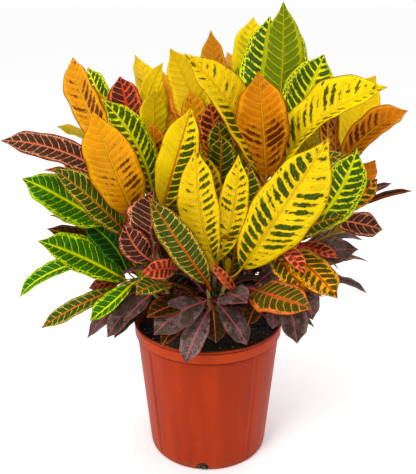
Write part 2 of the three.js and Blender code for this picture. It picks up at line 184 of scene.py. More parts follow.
class Graph:
    """One material's node tree."""

    def __init__(self, name: str) -> None:
        """Starts an empty material.

        Args:
            name: The material's name.
        """
        self.material = bpy.data.materials.new(name)
        self.material.use_nodes = True
        self.tree = self.material.node_tree
        self.tree.nodes.clear()

    def node(
        self,
        kind: str,
        settings: dict[str, object] | None = None,
        inputs: dict[str | int, object] | None = None,
    ) -> bpy.types.Node:
        """Adds a node.

        Args:
            kind: The node's type.
            settings: Its properties, which are set before its sockets.
            inputs: A value, a socket or a Number for each named or numbered input.

        Returns:
            The new node.
        """
        node = self.tree.nodes.new(kind)
        for key, value in (settings or {}).items():
            setattr(node, key, value)
        for key, value in (inputs or {}).items():
            if isinstance(value, Number):
                value = value.socket
            if isinstance(value, Socket):
                self.tree.links.new(value, node.inputs[key])
            else:
                node.inputs[key].default_value = value
        return node

    def number(
        self, kind: str, settings: dict[str, object] | None, inputs: dict[str | int, object]
    ) -> Number:
        """Adds a node whose first output is a number."""
        return Number(self, self.node(kind, settings, inputs).outputs[0])

    def place(self) -> Socket:
        """The point on the surface, in metres."""
        return self.node("ShaderNodeTexCoord").outputs["Object"]

    def split(self, vector: Socket) -> tuple[Number, Number, Number]:
        """A vector's three parts."""
        node = self.node("ShaderNodeSeparateXYZ", inputs={0: vector})
        return tuple(Number(self, output) for output in node.outputs)

    def joined(self, x: "Number | float", y: "Number | float", z: "Number | float") -> Socket:
        """A vector of three parts."""
        return self.node("ShaderNodeCombineXYZ", inputs={0: x, 1: y, 2: z}).outputs[0]

    def chart(self, name: str) -> tuple[Number, Number]:
        """The two coordinates of one of the mesh's own maps."""
        across, along, _ = self.split(self.node("ShaderNodeUVMap", {"uv_map": name}).outputs[0])
        return across, along

    def attribute(self, name: str) -> bpy.types.Node:
        """The node that reads one of the mesh's attributes."""
        return self.node("ShaderNodeAttribute", {"attribute_name": name})

    def noise(self, place: Socket, scale: float, detail: float = 2.0) -> Number:
        """Smooth noise of about 0.5, with that many features to a unit of place."""
        return self.number("ShaderNodeTexNoise", None, {"Vector": place, "Scale": scale, "Detail": detail})

    def sway(self, place: Socket, scale: float, detail: float = 2.0) -> Number:
        """Smooth noise of about 0, with that many features to a unit of place."""
        return self.noise(place, scale, detail) - 0.5

    def cracks(self, place: Socket) -> Number:
        """The distance to the nearest edge of a net of cells, one to a unit of place."""
        settings = {"feature": "DISTANCE_TO_EDGE"}
        return self.number("ShaderNodeTexVoronoi", settings, {"Vector": place, "Scale": 1.0})

    def lot(self, place: Socket) -> Number:
        """A random number from 0 to 1 for each different vector."""
        return self.number("ShaderNodeTexWhiteNoise", None, {"Vector": place})

    def mix(self, share: "Number | float", under: object, over: object) -> Socket:
        """Lays one colour over another.

        Args:
            share: How much of the upper colour shows.
            under: The lower colour, as a value or a socket.
            over: The upper colour, likewise.

        Returns:
            The mixed colour's socket.
        """
        node = self.node("ShaderNodeMix", {"data_type": "RGBA"}, {0: share, 6: under, 7: over})
        return node.outputs[2]

    def toned(self, colour: Socket, hue: Number, value: Number) -> Socket:
        """The colour a little more vivid, its hue turned (0.5 leaves it alone) and its value scaled."""
        inputs = {"Hue": hue, "Saturation": 1.08, "Value": value, "Color": colour}
        return self.node("ShaderNodeHueSaturation", inputs=inputs).outputs[0]

    def finish(
        self,
        colour: object,
        roughness: "Number | float",
        height: "Number | None" = None,
        constants: dict[str, float] | None = None,
    ) -> bpy.types.Material:
        """Closes the graph with one principled shader.

        Args:
            colour: The base colour.
            roughness: The roughness.
            height: The relief in metres, if there is one.
            constants: Other sockets of the shader, the same all over.

        Returns:
            The finished material.
        """
        inputs = {"Base Color": colour, "Roughness": roughness, **(constants or {})}
        if height is not None:
            relief = {"Strength": 1.0, "Distance": 1.0, "Height": height}
            inputs["Normal"] = self.node("ShaderNodeBump", inputs=relief).outputs[0]
        shader = self.node("ShaderNodeBsdfPrincipled", inputs=inputs)
        self.node("ShaderNodeOutputMaterial", inputs={"Surface": shader.outputs[0]})
        return self.material


# ---- finishes ----

SHARES_MAP = "Shares"  # across a blade from -1 to 1, and along it from 0 to 1
VEINS_MAP = "Veins"  # metres from the midrib, and the count of side veins passed
BAKE_MAP = "OFBake"  # a place of its own for every face
PART = "Part"  # which part of a leaf a face is
CHANCE = "Chance"  # three random numbers for each leaf
GRAIN = "Grain"  # what a face of the soil is


class Part(Enum):
    """The parts of a leaf, as the leaf materials read them."""

    UPPER = 0.0
    UNDER = 1.0
    STALK = 2.0


class Grain(Enum):
    """What a face of the soil is, as its material reads it: 0 is the bed, and bark lies below root."""

    ROOT = 0.82
    PERLITE = 1.0


@dataclass(frozen=True)
class LeafFinish:
    """The colours and pattern of one kind of leaf.

    A cell is the field between two side veins. Its patch covers the share fill of it, give or take
    patchy from cell to cell and fading towards the tip, with streaks as ragged as that; rounded
    draws it back from the midrib and the margin. Beads are the small patches outside the loops of
    the veins, by the margin. The right half of a sided blade has more of the patch than the left.
    Flushed says how much of the blade the flush covers, and flushed_low how much more of its base.
    Freckled blades have specks of the flush beside the midrib, and mottled ones dark stains of it.
    """

    name: str
    blade: Colour
    patch: Colour
    vein: Colour
    rib: Colour
    margin: Colour
    under: Colour
    flush: Colour
    fill: float = 1.3
    patchy: float = 0.0
    fading: float = 0.0
    ragged: float = 0.2
    rounded: float = 0.0
    beads: float = 0.8
    vein_share: float = 0.13
    rib_width: float = 1.5 * MM
    margin_share: float = 0.035
    flushed: float = 0.0
    flushed_low: float = 0.0
    freckled: float = 0.0
    mottled: float = 0.0
    sided: float = 0.0
    gloss: float = 0.40

    def material(self) -> bpy.types.Material:
        """Builds the leaf material of this finish."""
        return LeafPattern(self).material()


class LeafPattern:
    """Works out a leaf finish at each point, from the maps and attributes that a leaf's mesh carries."""

    # How many features there are to a metre, in each noise on the leaf.
    WANDERS = 90.0
    KINKS = 130.0
    CLOUDS = 30.0
    STAINS = 55.0
    SPECKS = 430.0
    PORES = 420.0
    TONES = 16.0

    CELL_SWELL = 0.6 * MM
    RIB_SINK = 0.3 * MM
    VEINLET_SINK = 0.08 * MM
    PORE_DEPTH = 0.14 * MM
    RIB_LEAST = 0.3 * MM
    SPECKLED = (11 * MM, 2 * MM)  # from the midrib: where the specks start, and where they are full

    SHEEN = 0.08
    BUSH_REACH = (0.26, 0.20, 0.40)  # how far the leaves reach, on each side of the bush's middle
    BUSH_MIDDLE = 0.27
    PAINTED_DEEP_SHADE = 0.60  # painted shade: the tone deep in the bush, as a share of the tone outside

    def __init__(self, finish: LeafFinish) -> None:
        """Reads where on its leaf and in its cell a point lies.

        Args:
            finish: The finish.
        """
        self.finish = finish
        self.colour: object = finish.vein
        self.graph = graph = Graph("leaf_" + finish.name)
        self.here = graph.place()
        self.across, self.along = graph.chart(SHARES_MAP)
        self.from_rib, passed = graph.chart(VEINS_MAP)
        self.first, self.second, self.third = graph.split(graph.attribute(CHANCE).outputs["Vector"])
        self.part = Number(graph, graph.attribute(PART).outputs["Fac"])
        self.under = self.part.rise(0.25, 0.75)
        self.seed = self.first * 31.0 + self.second * 17.0
        self.side = self.across.rise(-0.01, 0.01)
        self.wander = graph.sway(self.here, self.WANDERS)
        self.beside = self.across.size() + self.wander * 0.12
        self.phase = passed + graph.sway(self.here, self.KINKS) * 0.34
        self.from_middle = (self.phase.fraction() * 2.0 - 1.0).size()
        self.odds = graph.lot(graph.joined(self.phase.whole(), self.side + 2.0, self.seed))
        self.cloud = graph.noise(self.here, self.CLOUDS, 3.0)
        meshes = graph.joined(self.beside * 15.0, self.phase * 6.0, self.seed)
        self.veinlet = graph.cracks(meshes).rise(0.0, 0.10)
        self.outline = self.cell_outline()
        self.inside = self.outline.rise(1.14, 0.86)
        self.rib_edge = self.from_rib.size() / (finish.rib_width * (1.15 - self.along) + self.RIB_LEAST)
        self.rib = self.rib_edge.rise(1.2, 0.8)

    def cell_outline(self) -> Number:
        """Measures how near the veins that close a cell a point is; they loop short of the margin.

        Returns:
            A number that is 0 in the middle of the cell and 1 on its outline.
        """
        gap = self.finish.vein_share * (1.1 - 0.5 * self.beside)
        loop = ((self.beside - 0.40 - self.odds * 0.08).at_least(0.0) / 0.36) ** 3.0
        return (self.from_middle / (1.0 - gap)) ** 4.0 + loop

    def cover(self) -> Number:
        """Works out how much of each cell its patch covers.

        Returns:
            The share of the cell, before its edge is made ragged.
        """
        finish, graph = self.finish, self.graph
        zone = graph.sway(graph.joined(self.along * 3.2, self.side * 4.0, self.seed), 1.0, 1.0)
        share = finish.fill + (self.odds - 0.5) * (finish.patchy * 0.8) + zone * (finish.patchy * 2.2)
        share = share + (self.third - 0.5) * (finish.patchy * 0.4)
        share = share - self.along.rise(0.35, 1.0) * finish.fading
        share = share - ((self.beside - 0.46) * 2.4) ** 2.0 * finish.rounded
        uneven = (self.second - 0.5) * (finish.patchy * 0.8) + finish.sided
        return share + (self.side * 2.0 - 1.0) * uneven

    def lay(self, share: "Number | float", over: object) -> None:
        """Lays a colour over those that the leaf has so far."""
        self.colour = self.graph.mix(share, self.colour, over)

    def colour_lamina(self) -> None:
        """Colours the blade's side veins, the ground between them, painted shade beside them, and the
        flush.
        """
        finish, graph, inside = self.finish, self.graph, self.inside
        ground = graph.mix(self.cloud.rise(0.3, 0.7), scaled(finish.blade, 0.80), finish.blade)
        # painted shade in the grooves beside each side vein
        groove_shade = self.from_middle.between(0.74, 0.86, 0.93, 0.99) * inside
        ground = graph.mix(groove_shade * 0.35, ground, scaled(finish.blade, 0.55))
        self.lay(0.45 + self.veinlet * 0.55, ground)
        self.lay((1.0 - inside) * self.beside.rise(0.94, 0.84), finish.vein)
        low = self.along.rise(0.42, 0.08) * finish.flushed_low
        flush = (self.cloud + low * 0.5).rise(0.80 - 0.4 * finish.flushed, 0.92 - 0.4 * finish.flushed)
        self.lay(flush * (0.35 + 0.45 * inside), finish.flush)

    def colour_patches(self) -> None:
        """Lays the cells' patches."""
        finish, graph, beside, phase, seed = self.finish, self.graph, self.beside, self.phase, self.seed
        streaks = graph.sway(graph.joined(beside * 5.0, phase * 9.5, seed + self.side * 5.0), 1.0, 3.0)
        crumbs = graph.sway(graph.joined(beside * 15.0, phase * 11.0, seed), 1.0)
        spots = graph.joined(beside * 8.0, phase.whole() * 3.7, seed + self.side * 3.0)
        breaks = graph.sway(spots, 1.0, 1.0)
        ragged = streaks * 6.0 + crumbs * 3.5 + breaks * 5.0
        level = self.cover() - self.from_middle + ragged * finish.ragged
        shown = level.rise(-0.04, 0.06) * beside.between(0.05, 0.13, 0.74, 0.88) * self.inside
        light = (level * 2.0).at_most(1.0) * (crumbs + streaks + 0.5).rise(0.30, 0.75)
        patch = graph.mix(light, scaled(finish.patch, 0.16), scaled(finish.patch, 1.05))
        self.lay(shown, graph.mix((1.0 - self.veinlet) * 0.22, patch, finish.vein))

    def colour_beads(self) -> None:
        """Sets the beads outside the veins' loops."""
        graph, beside, phase = self.graph, self.beside, self.phase
        net = graph.cracks(graph.joined(beside * 7.5, phase * 2.6, self.seed))
        border = self.outline.rise(1.05, 1.30) * beside.rise(0.42, 0.52)
        border = border * self.across.size().rise(0.97, 0.93)
        chosen = graph.noise(graph.joined(beside * 5.0, phase * 2.0, self.seed + 9.0), 1.0)
        often = 0.5 * self.finish.beads
        bead = net.rise(0.09, 0.16) * border * chosen.rise(0.72 - often, 0.76 - often)
        self.lay(bead, scaled(self.finish.patch, 0.45))

    def colour_age(self) -> None:
        """Adds the specks beside the midrib and the darker stains."""
        finish, graph = self.finish, self.graph
        specks = graph.noise(self.here, self.SPECKS, 1.0).rise(0.60, 0.66)
        specks = specks * self.from_rib.size().rise(*self.SPECKLED)
        self.lay(specks * finish.freckled, scaled(finish.flush, 0.65))
        stain = graph.noise(self.here, self.STAINS, 3.0).rise(0.58, 0.44)
        self.lay(stain * finish.mottled, scaled(finish.flush, 0.22))

    def colour_lines(self) -> None:
        """Draws the margin with its dark outer line, and the midrib with painted shade along its sides."""
        finish, share, out = self.finish, self.finish.margin_share, self.across.size()
        self.lay((out + self.wander * 0.03).rise(0.985 - share, 1.0 - share * 0.6), finish.margin)
        outer = (out + self.wander * 0.02).rise(0.955, 0.980)
        self.lay(outer * 0.75, scaled(finish.margin, 0.34))
        # painted shade along both sides of the sunken midrib
        self.lay(self.rib_edge.between(1.0, 1.25, 1.5, 2.1) * 0.45, scaled(finish.patch, 0.5))
        self.lay(self.rib, self.graph.mix(self.wander + 0.5, scaled(finish.rib, 0.8), finish.rib))

    def colour_under(self) -> None:
        """Makes the underside paler than the upper face, and colours the stalk."""
        finish, graph = self.finish, self.graph
        beneath = graph.mix(0.62, self.colour, finish.under)
        self.lay(self.under, graph.mix((1.0 - self.inside) * 0.45, beneath, finish.vein))
        stalk = graph.mix(self.cloud, scaled(finish.rib, 0.7), finish.rib)
        self.lay(self.part.rise(1.25, 1.75), stalk)

    def tone(self) -> Number:
        """Works out how light a point is: leaves differ, with painted shade deep in the bush and at blade
        bases.

        Returns:
            The factor on the colour's value.
        """
        x, y, z = self.graph.split(self.here)
        wide, deep, tall = self.BUSH_REACH
        outwards = (x / wide) ** 2.0 + (y / deep) ** 2.0 + ((z - self.BUSH_MIDDLE) / tall) ** 2.0
        # each leaf's random tone, with painted shade towards the blade's base
        tone = 0.72 + 0.14 * self.second - self.along.rise(0.30, 0.0) * 0.08
        tone = tone + self.graph.sway(self.here, self.TONES) * 0.34
        # painted shade: leaves are darker the deeper inside the bush they lie
        return tone * (self.PAINTED_DEEP_SHADE + (1.0 - self.PAINTED_DEEP_SHADE) * outwards.rise(0.12, 0.72))

    def relief(self) -> Number:
        """Works out the fine relief, which is turned over on the underside.

        Returns:
            The height in metres.
        """
        swell = (1.0 - self.from_middle**2.0) * self.CELL_SWELL - self.rib * self.RIB_SINK
        pores = self.graph.noise(self.here, self.PORES, 3.0) * self.PORE_DEPTH
        return swell * (1.0 - 2.0 * self.under) + self.veinlet * self.VEINLET_SINK + pores

    def material(self) -> bpy.types.Material:
        """Puts the leaf's colour, roughness and relief together.

        Returns:
            The finished material.
        """
        self.colour_lamina()
        self.colour_patches()
        self.colour_beads()
        self.colour_age()
        self.colour_lines()
        self.colour_under()
        toned = self.graph.toned(self.colour, 0.490 + 0.020 * self.first, self.tone())
        roughness = self.finish.gloss + self.under * 0.18 + self.wander * 0.20
        return self.graph.finish(toned, roughness, self.relief(), {"Specular IOR Level": self.SHEEN})


YELLOW_SPOTTED = LeafFinish(
    "yellow_spotted",
    blade=paint(253, 213, 4), patch=paint(18, 84, 16), vein=paint(255, 216, 14),
    rib=paint(252, 200, 10), margin=paint(226, 128, 12), under=paint(236, 206, 40),
    flush=paint(240, 150, 10),
    fill=0.52, patchy=0.9, fading=0.3, ragged=0.24, rounded=0.7, beads=0.22, vein_share=0.24,
    rib_width=1.0 * MM, margin_share=0.018, flushed=0.12, freckled=0.8,
)
HALF_GREEN = replace(
    YELLOW_SPOTTED, name="half_green", rib=paint(232, 112, 24), fill=0.62, patchy=0.5, fading=0.9,
    vein_share=0.2, sided=0.7,
)
YELLOW = LeafFinish(
    "yellow",
    blade=paint(236, 192, 4), patch=paint(120, 110, 10), vein=paint(255, 222, 40),
    rib=paint(250, 200, 30), margin=paint(228, 130, 14), under=paint(226, 186, 4),
    flush=paint(240, 160, 10),
    fill=-0.15, patchy=0.7, ragged=0.14, beads=0.0, vein_share=0.1, margin_share=0.02, flushed=0.2,
)
AMBER = LeafFinish(
    "amber",
    blade=paint(240, 160, 0), patch=paint(112, 48, 8), vein=paint(248, 182, 14),
    rib=paint(250, 190, 34), margin=paint(176, 74, 14), under=paint(226, 160, 30),
    flush=paint(216, 104, 10),
    fill=0.36, patchy=0.9, fading=0.85, ragged=0.3, rounded=0.5, beads=0.2, vein_share=0.16,
    margin_share=0.02, flushed=0.35, freckled=0.5,
)
AMBER_GREEN = LeafFinish(
    "amber_green",
    blade=paint(250, 172, 8), patch=paint(38, 74, 14), vein=paint(250, 178, 20), rib=paint(228, 62, 18),
    margin=paint(226, 96, 14), under=paint(214, 150, 40), flush=paint(236, 104, 12),
    fill=0.85, patchy=0.7, ragged=0.2, rounded=0.4, beads=0.6, vein_share=0.22, rib_width=1.2 * MM,
    flushed=0.3,
)
GREEN_ORANGE = LeafFinish(
    "green_orange",
    blade=paint(100, 142, 26), patch=paint(12, 88, 18), vein=paint(244, 204, 92),
    rib=paint(236, 108, 26), margin=paint(218, 104, 36), under=paint(110, 116, 34),
    flush=paint(190, 120, 24),
    vein_share=0.11, beads=0.75, rib_width=1.4 * MM, flushed=0.05,
)
GREEN = LeafFinish(
    "green",
    blade=paint(60, 120, 30), patch=paint(20, 76, 22), vein=paint(96, 150, 52), rib=paint(150, 190, 60),
    margin=paint(56, 110, 36), under=paint(90, 120, 50), flush=paint(70, 110, 30),
    vein_share=0.08, rib_width=1.1 * MM,
)
LIME = LeafFinish(
    "lime",
    blade=paint(196, 226, 20), patch=paint(4, 126, 20), vein=paint(206, 232, 26),
    rib=paint(244, 244, 14), margin=paint(214, 236, 22), under=paint(150, 176, 40),
    flush=paint(120, 190, 20),
    vein_share=0.1, beads=0.7, rib_width=2.1 * MM, margin_share=0.045,
)
LIME_SPOTTED = LeafFinish(
    "lime_spotted",
    blade=paint(238, 238, 10), patch=paint(10, 98, 22), vein=paint(242, 242, 16),
    rib=paint(244, 238, 14), margin=paint(226, 240, 14), under=paint(186, 190, 30),
    flush=paint(200, 220, 20),
    fill=0.92, patchy=0.5, ragged=0.14, rounded=0.3, beads=0.9, vein_share=0.26, rib_width=2.2 * MM,
    margin_share=0.07,
)
OLIVE = LeafFinish(
    "olive",
    blade=paint(150, 156, 8), patch=paint(92, 118, 6), vein=paint(206, 200, 22),
    rib=paint(210, 192, 30), margin=paint(150, 140, 20), under=paint(126, 140, 4),
    flush=paint(140, 140, 20),
    vein_share=0.12, beads=0.5, rib_width=1.8 * MM,
)
CRIMSON = LeafFinish(
    "crimson",
    blade=paint(204, 62, 18), patch=paint(62, 8, 12), vein=paint(240, 140, 92), rib=paint(222, 84, 36),
    margin=paint(176, 46, 26), under=paint(150, 60, 50), flush=paint(216, 46, 18),
    fill=0.85, patchy=0.6, ragged=0.22, beads=0.6, vein_share=0.1, flushed=0.4,
)
WINE = LeafFinish(
    "wine",
    blade=paint(166, 48, 40), patch=paint(50, 14, 16), vein=paint(250, 170, 132),
    rib=paint(244, 138, 104), margin=paint(170, 50, 44), under=paint(120, 60, 60),
    flush=paint(196, 50, 38),
    vein_share=0.1, beads=0.75, flushed=0.45,
)
RUST = LeafFinish(
    "rust",
    blade=paint(222, 128, 8), patch=paint(120, 34, 16), vein=paint(236, 158, 30),
    rib=paint(238, 168, 34), margin=paint(172, 54, 14), under=paint(190, 110, 30),
    flush=paint(186, 50, 14),
    fill=0.34, patchy=0.9, fading=0.8, ragged=0.3, rounded=0.4, beads=0.2, vein_share=0.14,
    margin_share=0.02, flushed=0.35,
)
CORAL = LeafFinish(
    "coral",
    blade=paint(238, 90, 72), patch=paint(110, 52, 16), vein=paint(248, 142, 112),
    rib=paint(244, 100, 88), margin=paint(232, 82, 78), under=paint(190, 90, 80),
    flush=paint(238, 120, 30),
    fill=0.45, patchy=0.7, beads=0.3, vein_share=0.16, flushed=0.35,
)
CORAL_GREEN = LeafFinish(
    "coral_green",
    blade=paint(220, 130, 40), patch=paint(66, 104, 18), vein=paint(244, 132, 94),
    rib=paint(241, 94, 90), margin=paint(244, 106, 86), under=paint(170, 110, 60),
    flush=paint(240, 92, 82),
    vein_share=0.16, beads=0.4, margin_share=0.05, flushed=0.2, flushed_low=0.7,
)
PLUM = LeafFinish(
    "plum",
    blade=paint(158, 130, 124), patch=paint(136, 110, 106), vein=paint(152, 114, 110),
    rib=paint(214, 100, 108), margin=paint(206, 116, 112), under=paint(112, 60, 66),
    flush=paint(104, 96, 50),
    vein_share=0.07, beads=0.5, rib_width=0.9 * MM, margin_share=0.018, flushed=0.3, mottled=0.7,
)
BRONZE = LeafFinish(
    "bronze",
    blade=paint(84, 56, 28), patch=paint(48, 44, 18), vein=paint(160, 92, 50), rib=paint(228, 118, 52),
    margin=paint(220, 118, 40), under=paint(104, 66, 48), flush=paint(104, 40, 30),
    vein_share=0.08, beads=0.6, rib_width=1.0 * MM, margin_share=0.018, flushed=0.3, mottled=0.4,
)


@dataclass(frozen=True)
class BarkFinish:
    """The skin of a cane: grey-brown and ridged at its foot, green-brown towards its tips."""

    wood: Colour = paint(112, 88, 60)
    crack: Colour = paint(58, 44, 32)
    green: Colour = paint(122, 128, 44)
    scab: Colour = paint(160, 140, 100)

    def material(self) -> bpy.types.Material:
        """Builds the bark material.

        Returns:
            The material, which reads how far along its cane a face is.
        """
        graph = Graph("bark")
        here = graph.place()
        x, y, z = graph.split(here)
        _, along = graph.chart(SHARES_MAP)
        fibres = graph.noise(graph.joined(x * 420.0, y * 420.0, z * 70.0), 1.0, 4.0)
        blotches = graph.noise(here, 90.0, 3.0)
        colour = graph.mix(fibres.rise(0.40, 0.62), self.crack, self.wood)
        youth = (along + (blotches - 0.5) * 0.7).rise(0.25, 0.75)
        colour = graph.mix(youth, colour, self.green)
        colour = graph.mix(blotches.rise(0.58, 0.70) * 0.5, colour, self.scab)
        height = fibres * (0.5 * MM) * (1.2 - youth) + blotches * (0.2 * MM)
        return graph.finish(colour, 0.75 - 0.25 * youth, height)


Finish = LeafFinish | BarkFinish


@dataclass(frozen=True)
class PlasticFinish:
    """Satin moulded plastic in terracotta red, with flow streaks, fine grain, light scuffs and painted
    light and shade on the rim.
    """

    body: Colour = paint(168, 50, 4)
    shade: Colour = paint(142, 38, 4)
    scuff: Colour = paint(222, 128, 96)
    dust: Colour = paint(120, 84, 60)
    # painted shadow: the colour of the dark lines under the lip and under the band
    seam: Colour = paint(70, 18, 8)
    # painted light: the rim band is lighter, as if lit more than the wall
    band: Colour = paint(196, 68, 14)

    # The height in metres at which each stripe starts, is full, fades and stops.
    BAND = (0.2190, 0.2204, 0.2340, 0.2350)
    LIP_SHADOW = (0.2354, 0.2364, 0.2370, 0.2376)
    BAND_SHADOW = (0.2140, 0.2172, 0.2190, 0.2196)

    def material(self) -> bpy.types.Material:
        """Builds the pot's material.

        Returns:
            The material, on the pot's own coordinates.
        """
        graph = Graph("pot_plastic")
        here = graph.place()
        x, y, z = graph.split(here)
        streaks = graph.noise(graph.joined(x * 40.0, y * 40.0, z * 5.0), 1.0, 3.0)
        clouds = graph.noise(here, 9.0, 2.0)
        colour = graph.mix(streaks.rise(0.35, 0.68) * 0.6 + clouds * 0.3, self.shade, self.body)
        scratches = graph.noise(graph.joined(x * 900.0, y * 900.0, z * 60.0), 1.0, 2.0).rise(0.70, 0.78)
        worn = graph.noise(here, 34.0, 4.0).rise(0.56, 0.72)
        colour = graph.mix(scratches * worn * 0.45, colour, self.scuff)
        soiled = (graph.noise(here, 60.0, 4.0) + z.rise(0.03, 0.0) * 0.22).rise(0.62, 0.80)
        colour = graph.mix(soiled * 0.30, colour, self.dust)
        # painted light on the rim band
        colour = graph.mix(z.between(*self.BAND) * 0.35, colour, self.band)
        # painted shadow under the rolled lip and under the rim band
        rim_shadows = z.between(*self.LIP_SHADOW) + z.between(*self.BAND_SHADOW)
        colour = graph.mix(rim_shadows * 0.85, colour, self.seam)
        grain = graph.noise(here, 1500.0, 2.0) * (0.03 * MM) + graph.noise(here, 160.0, 2.0) * (0.10 * MM)
        flow = graph.noise(graph.joined(x * 26.0, y * 26.0, z * 4.0), 1.0, 1.0) * (0.5 * MM)
        roughness = 0.40 + streaks * 0.10 + scratches * worn * 0.2 + soiled * 0.15
        return graph.finish(colour, roughness, grain + flow, {"Specular IOR Level": 0.10})


@dataclass(frozen=True)
class SoilFinish:
    """Damp peat and bark with perlite, and a trace of moss near the front."""

    peat: Colour = paint(33, 26, 22)
    bark: Colour = paint(80, 60, 46)
    perlite: Colour = paint(226, 222, 212)
    moss: Colour = paint(48, 70, 34)
    root: Colour = paint(116, 82, 56)
    moss_at: Point = (0.018, -0.098, 0.222)
    moss_reach: float = 0.040

    def material(self) -> bpy.types.Material:
        """Builds the soil's material.

        Returns:
            The material, which reads what each face is.
        """
        graph = Graph("soil")
        here = graph.place()
        grain = Number(graph, graph.attribute(GRAIN).outputs["Fac"])
        crumbs = graph.noise(here, 320.0, 4.0)
        colour = graph.mix((grain * 1.2).at_most(1.0) * crumbs.rise(0.3, 0.7), self.peat, self.bark)
        settings = {"operation": "DISTANCE"}
        gap = graph.node("ShaderNodeVectorMath", settings, {0: here, 1: self.moss_at}).outputs["Value"]
        near = Number(graph, gap).rise(self.moss_reach, self.moss_reach * 0.3)
        colour = graph.mix(near * crumbs.rise(0.35, 0.6) * 0.75, colour, self.moss)
        colour = graph.mix(grain.rise(0.72, 0.78), colour, self.root)
        colour = graph.mix(grain.rise(0.86, 0.94), colour, self.perlite)
        height = crumbs * (1.2 * MM) + graph.noise(here, 1400.0, 2.0) * (0.2 * MM)
        return graph.finish(colour, 0.95 - 0.25 * crumbs, height)


# ---- the canes, their shoots and their leaves ----

# Which way a leaf's upper face looks.
FRONT = (0, -1, 0.3)
FRONT_UP = (0, -0.6, 0.8)
FRONT_LEFT = (-0.6, -0.75, 0.2)
FRONT_RIGHT = (0.6, -0.75, 0.2)
UP = (0, -0.2, 1)
BACK = (0, 1, 0.3)
BACK_UP = (0, 0.5, 0.8)
BACK_LEFT = (-0.6, 0.75, 0.3)


@dataclass(frozen=True)
class Leaf:
    """One leaf: its blade's base, tip, width, facing, arch, bend and fold, in millimetres and degrees."""

    finish: LeafFinish
    base: Point
    tip: Point
    width: float
    facing: Point
    arch: float = 0.0
    bend: float = 0.0
    fold: float = 0.0

    @classmethod
    def on(cls, finish: LeafFinish, base: Vector, reach: Vector, width: float, facing: Vector) -> "Leaf":
        """A flat leaf from its base, and the way and distance from there to its tip."""
        return cls(finish, tuple(base), tuple(base + reach), width, tuple(facing))


@dataclass(frozen=True)
class Shoot:
    """A shoot from its cane's fork to its top, and the leaves that it carries."""

    top: Point
    leaves: tuple[Leaf, ...]


@dataclass(frozen=True)
class Fan:
    """A spray of leaves round one shoot, stepping by the golden share and lying lower down it."""

    top: Point
    azimuth: tuple[float, float]
    rise: tuple[float, float]
    length: float
    width: float
    finishes: tuple[LeafFinish, ...]

    SPACING = 15  # between one leaf and the next, down the shoot
    PETIOLE = 22
    ARCH = 0.09  # as a share of the leaf's length
    FOLD = 10
    TAPER = 0.25  # how much shorter the lowest leaf is than the topmost
    GOLDEN_SHARE = 0.618
    STEEP = math.radians(32)  # most leaves that rise more than this turn their upper face outwards

    def leaves(self) -> tuple[Leaf, ...]:
        """Works out the leaves.

        Returns:
            One leaf for each finish, from the top down.
        """
        made = []
        for i, finish in enumerate(self.finishes):
            share = i / (len(self.finishes) - 1)
            turn = (0.5 + self.GOLDEN_SHARE * i) % 1
            heading = math.radians(self.azimuth[0] + (self.azimuth[1] - self.azimuth[0]) * turn)
            slope = math.radians(self.rise[0] + (self.rise[1] - self.rise[0]) * share)
            size = 1 - self.TAPER * share
            out = Vector((math.cos(heading), math.sin(heading), 0))
            start = Vector(self.top) - Vector((0, 0, self.SPACING * i))
            step = out * math.cos(slope) + Vector((0, 0, math.sin(slope)))
            turned = -1 if slope > self.STEEP and i % 3 < 2 else 1
            facing = (out * -math.sin(slope) + Vector((0, 0, math.cos(slope)))) * turned
            base, reach = start + step * self.PETIOLE, step * (self.length * size)
            leaf = Leaf.on(finish, base, reach, self.width * size, facing)
            arch = self.ARCH * self.length * size * turned
            made.append(replace(leaf, arch=arch, fold=self.FOLD * turned))
        return tuple(made)


@dataclass(frozen=True)
class Cane:
    """One rooted cane: where it stands, how high it forks, and what its shoots carry."""

    name: str
    foot: tuple[float, float]
    fork: float
    shoots: tuple[Shoot, ...]
    fans: tuple[Fan, ...]

    def sprays(self) -> tuple[Shoot, ...]:
        """All its shoots, with the fans worked out."""
        return self.shoots + tuple(Shoot(fan.top, fan.leaves()) for fan in self.fans)


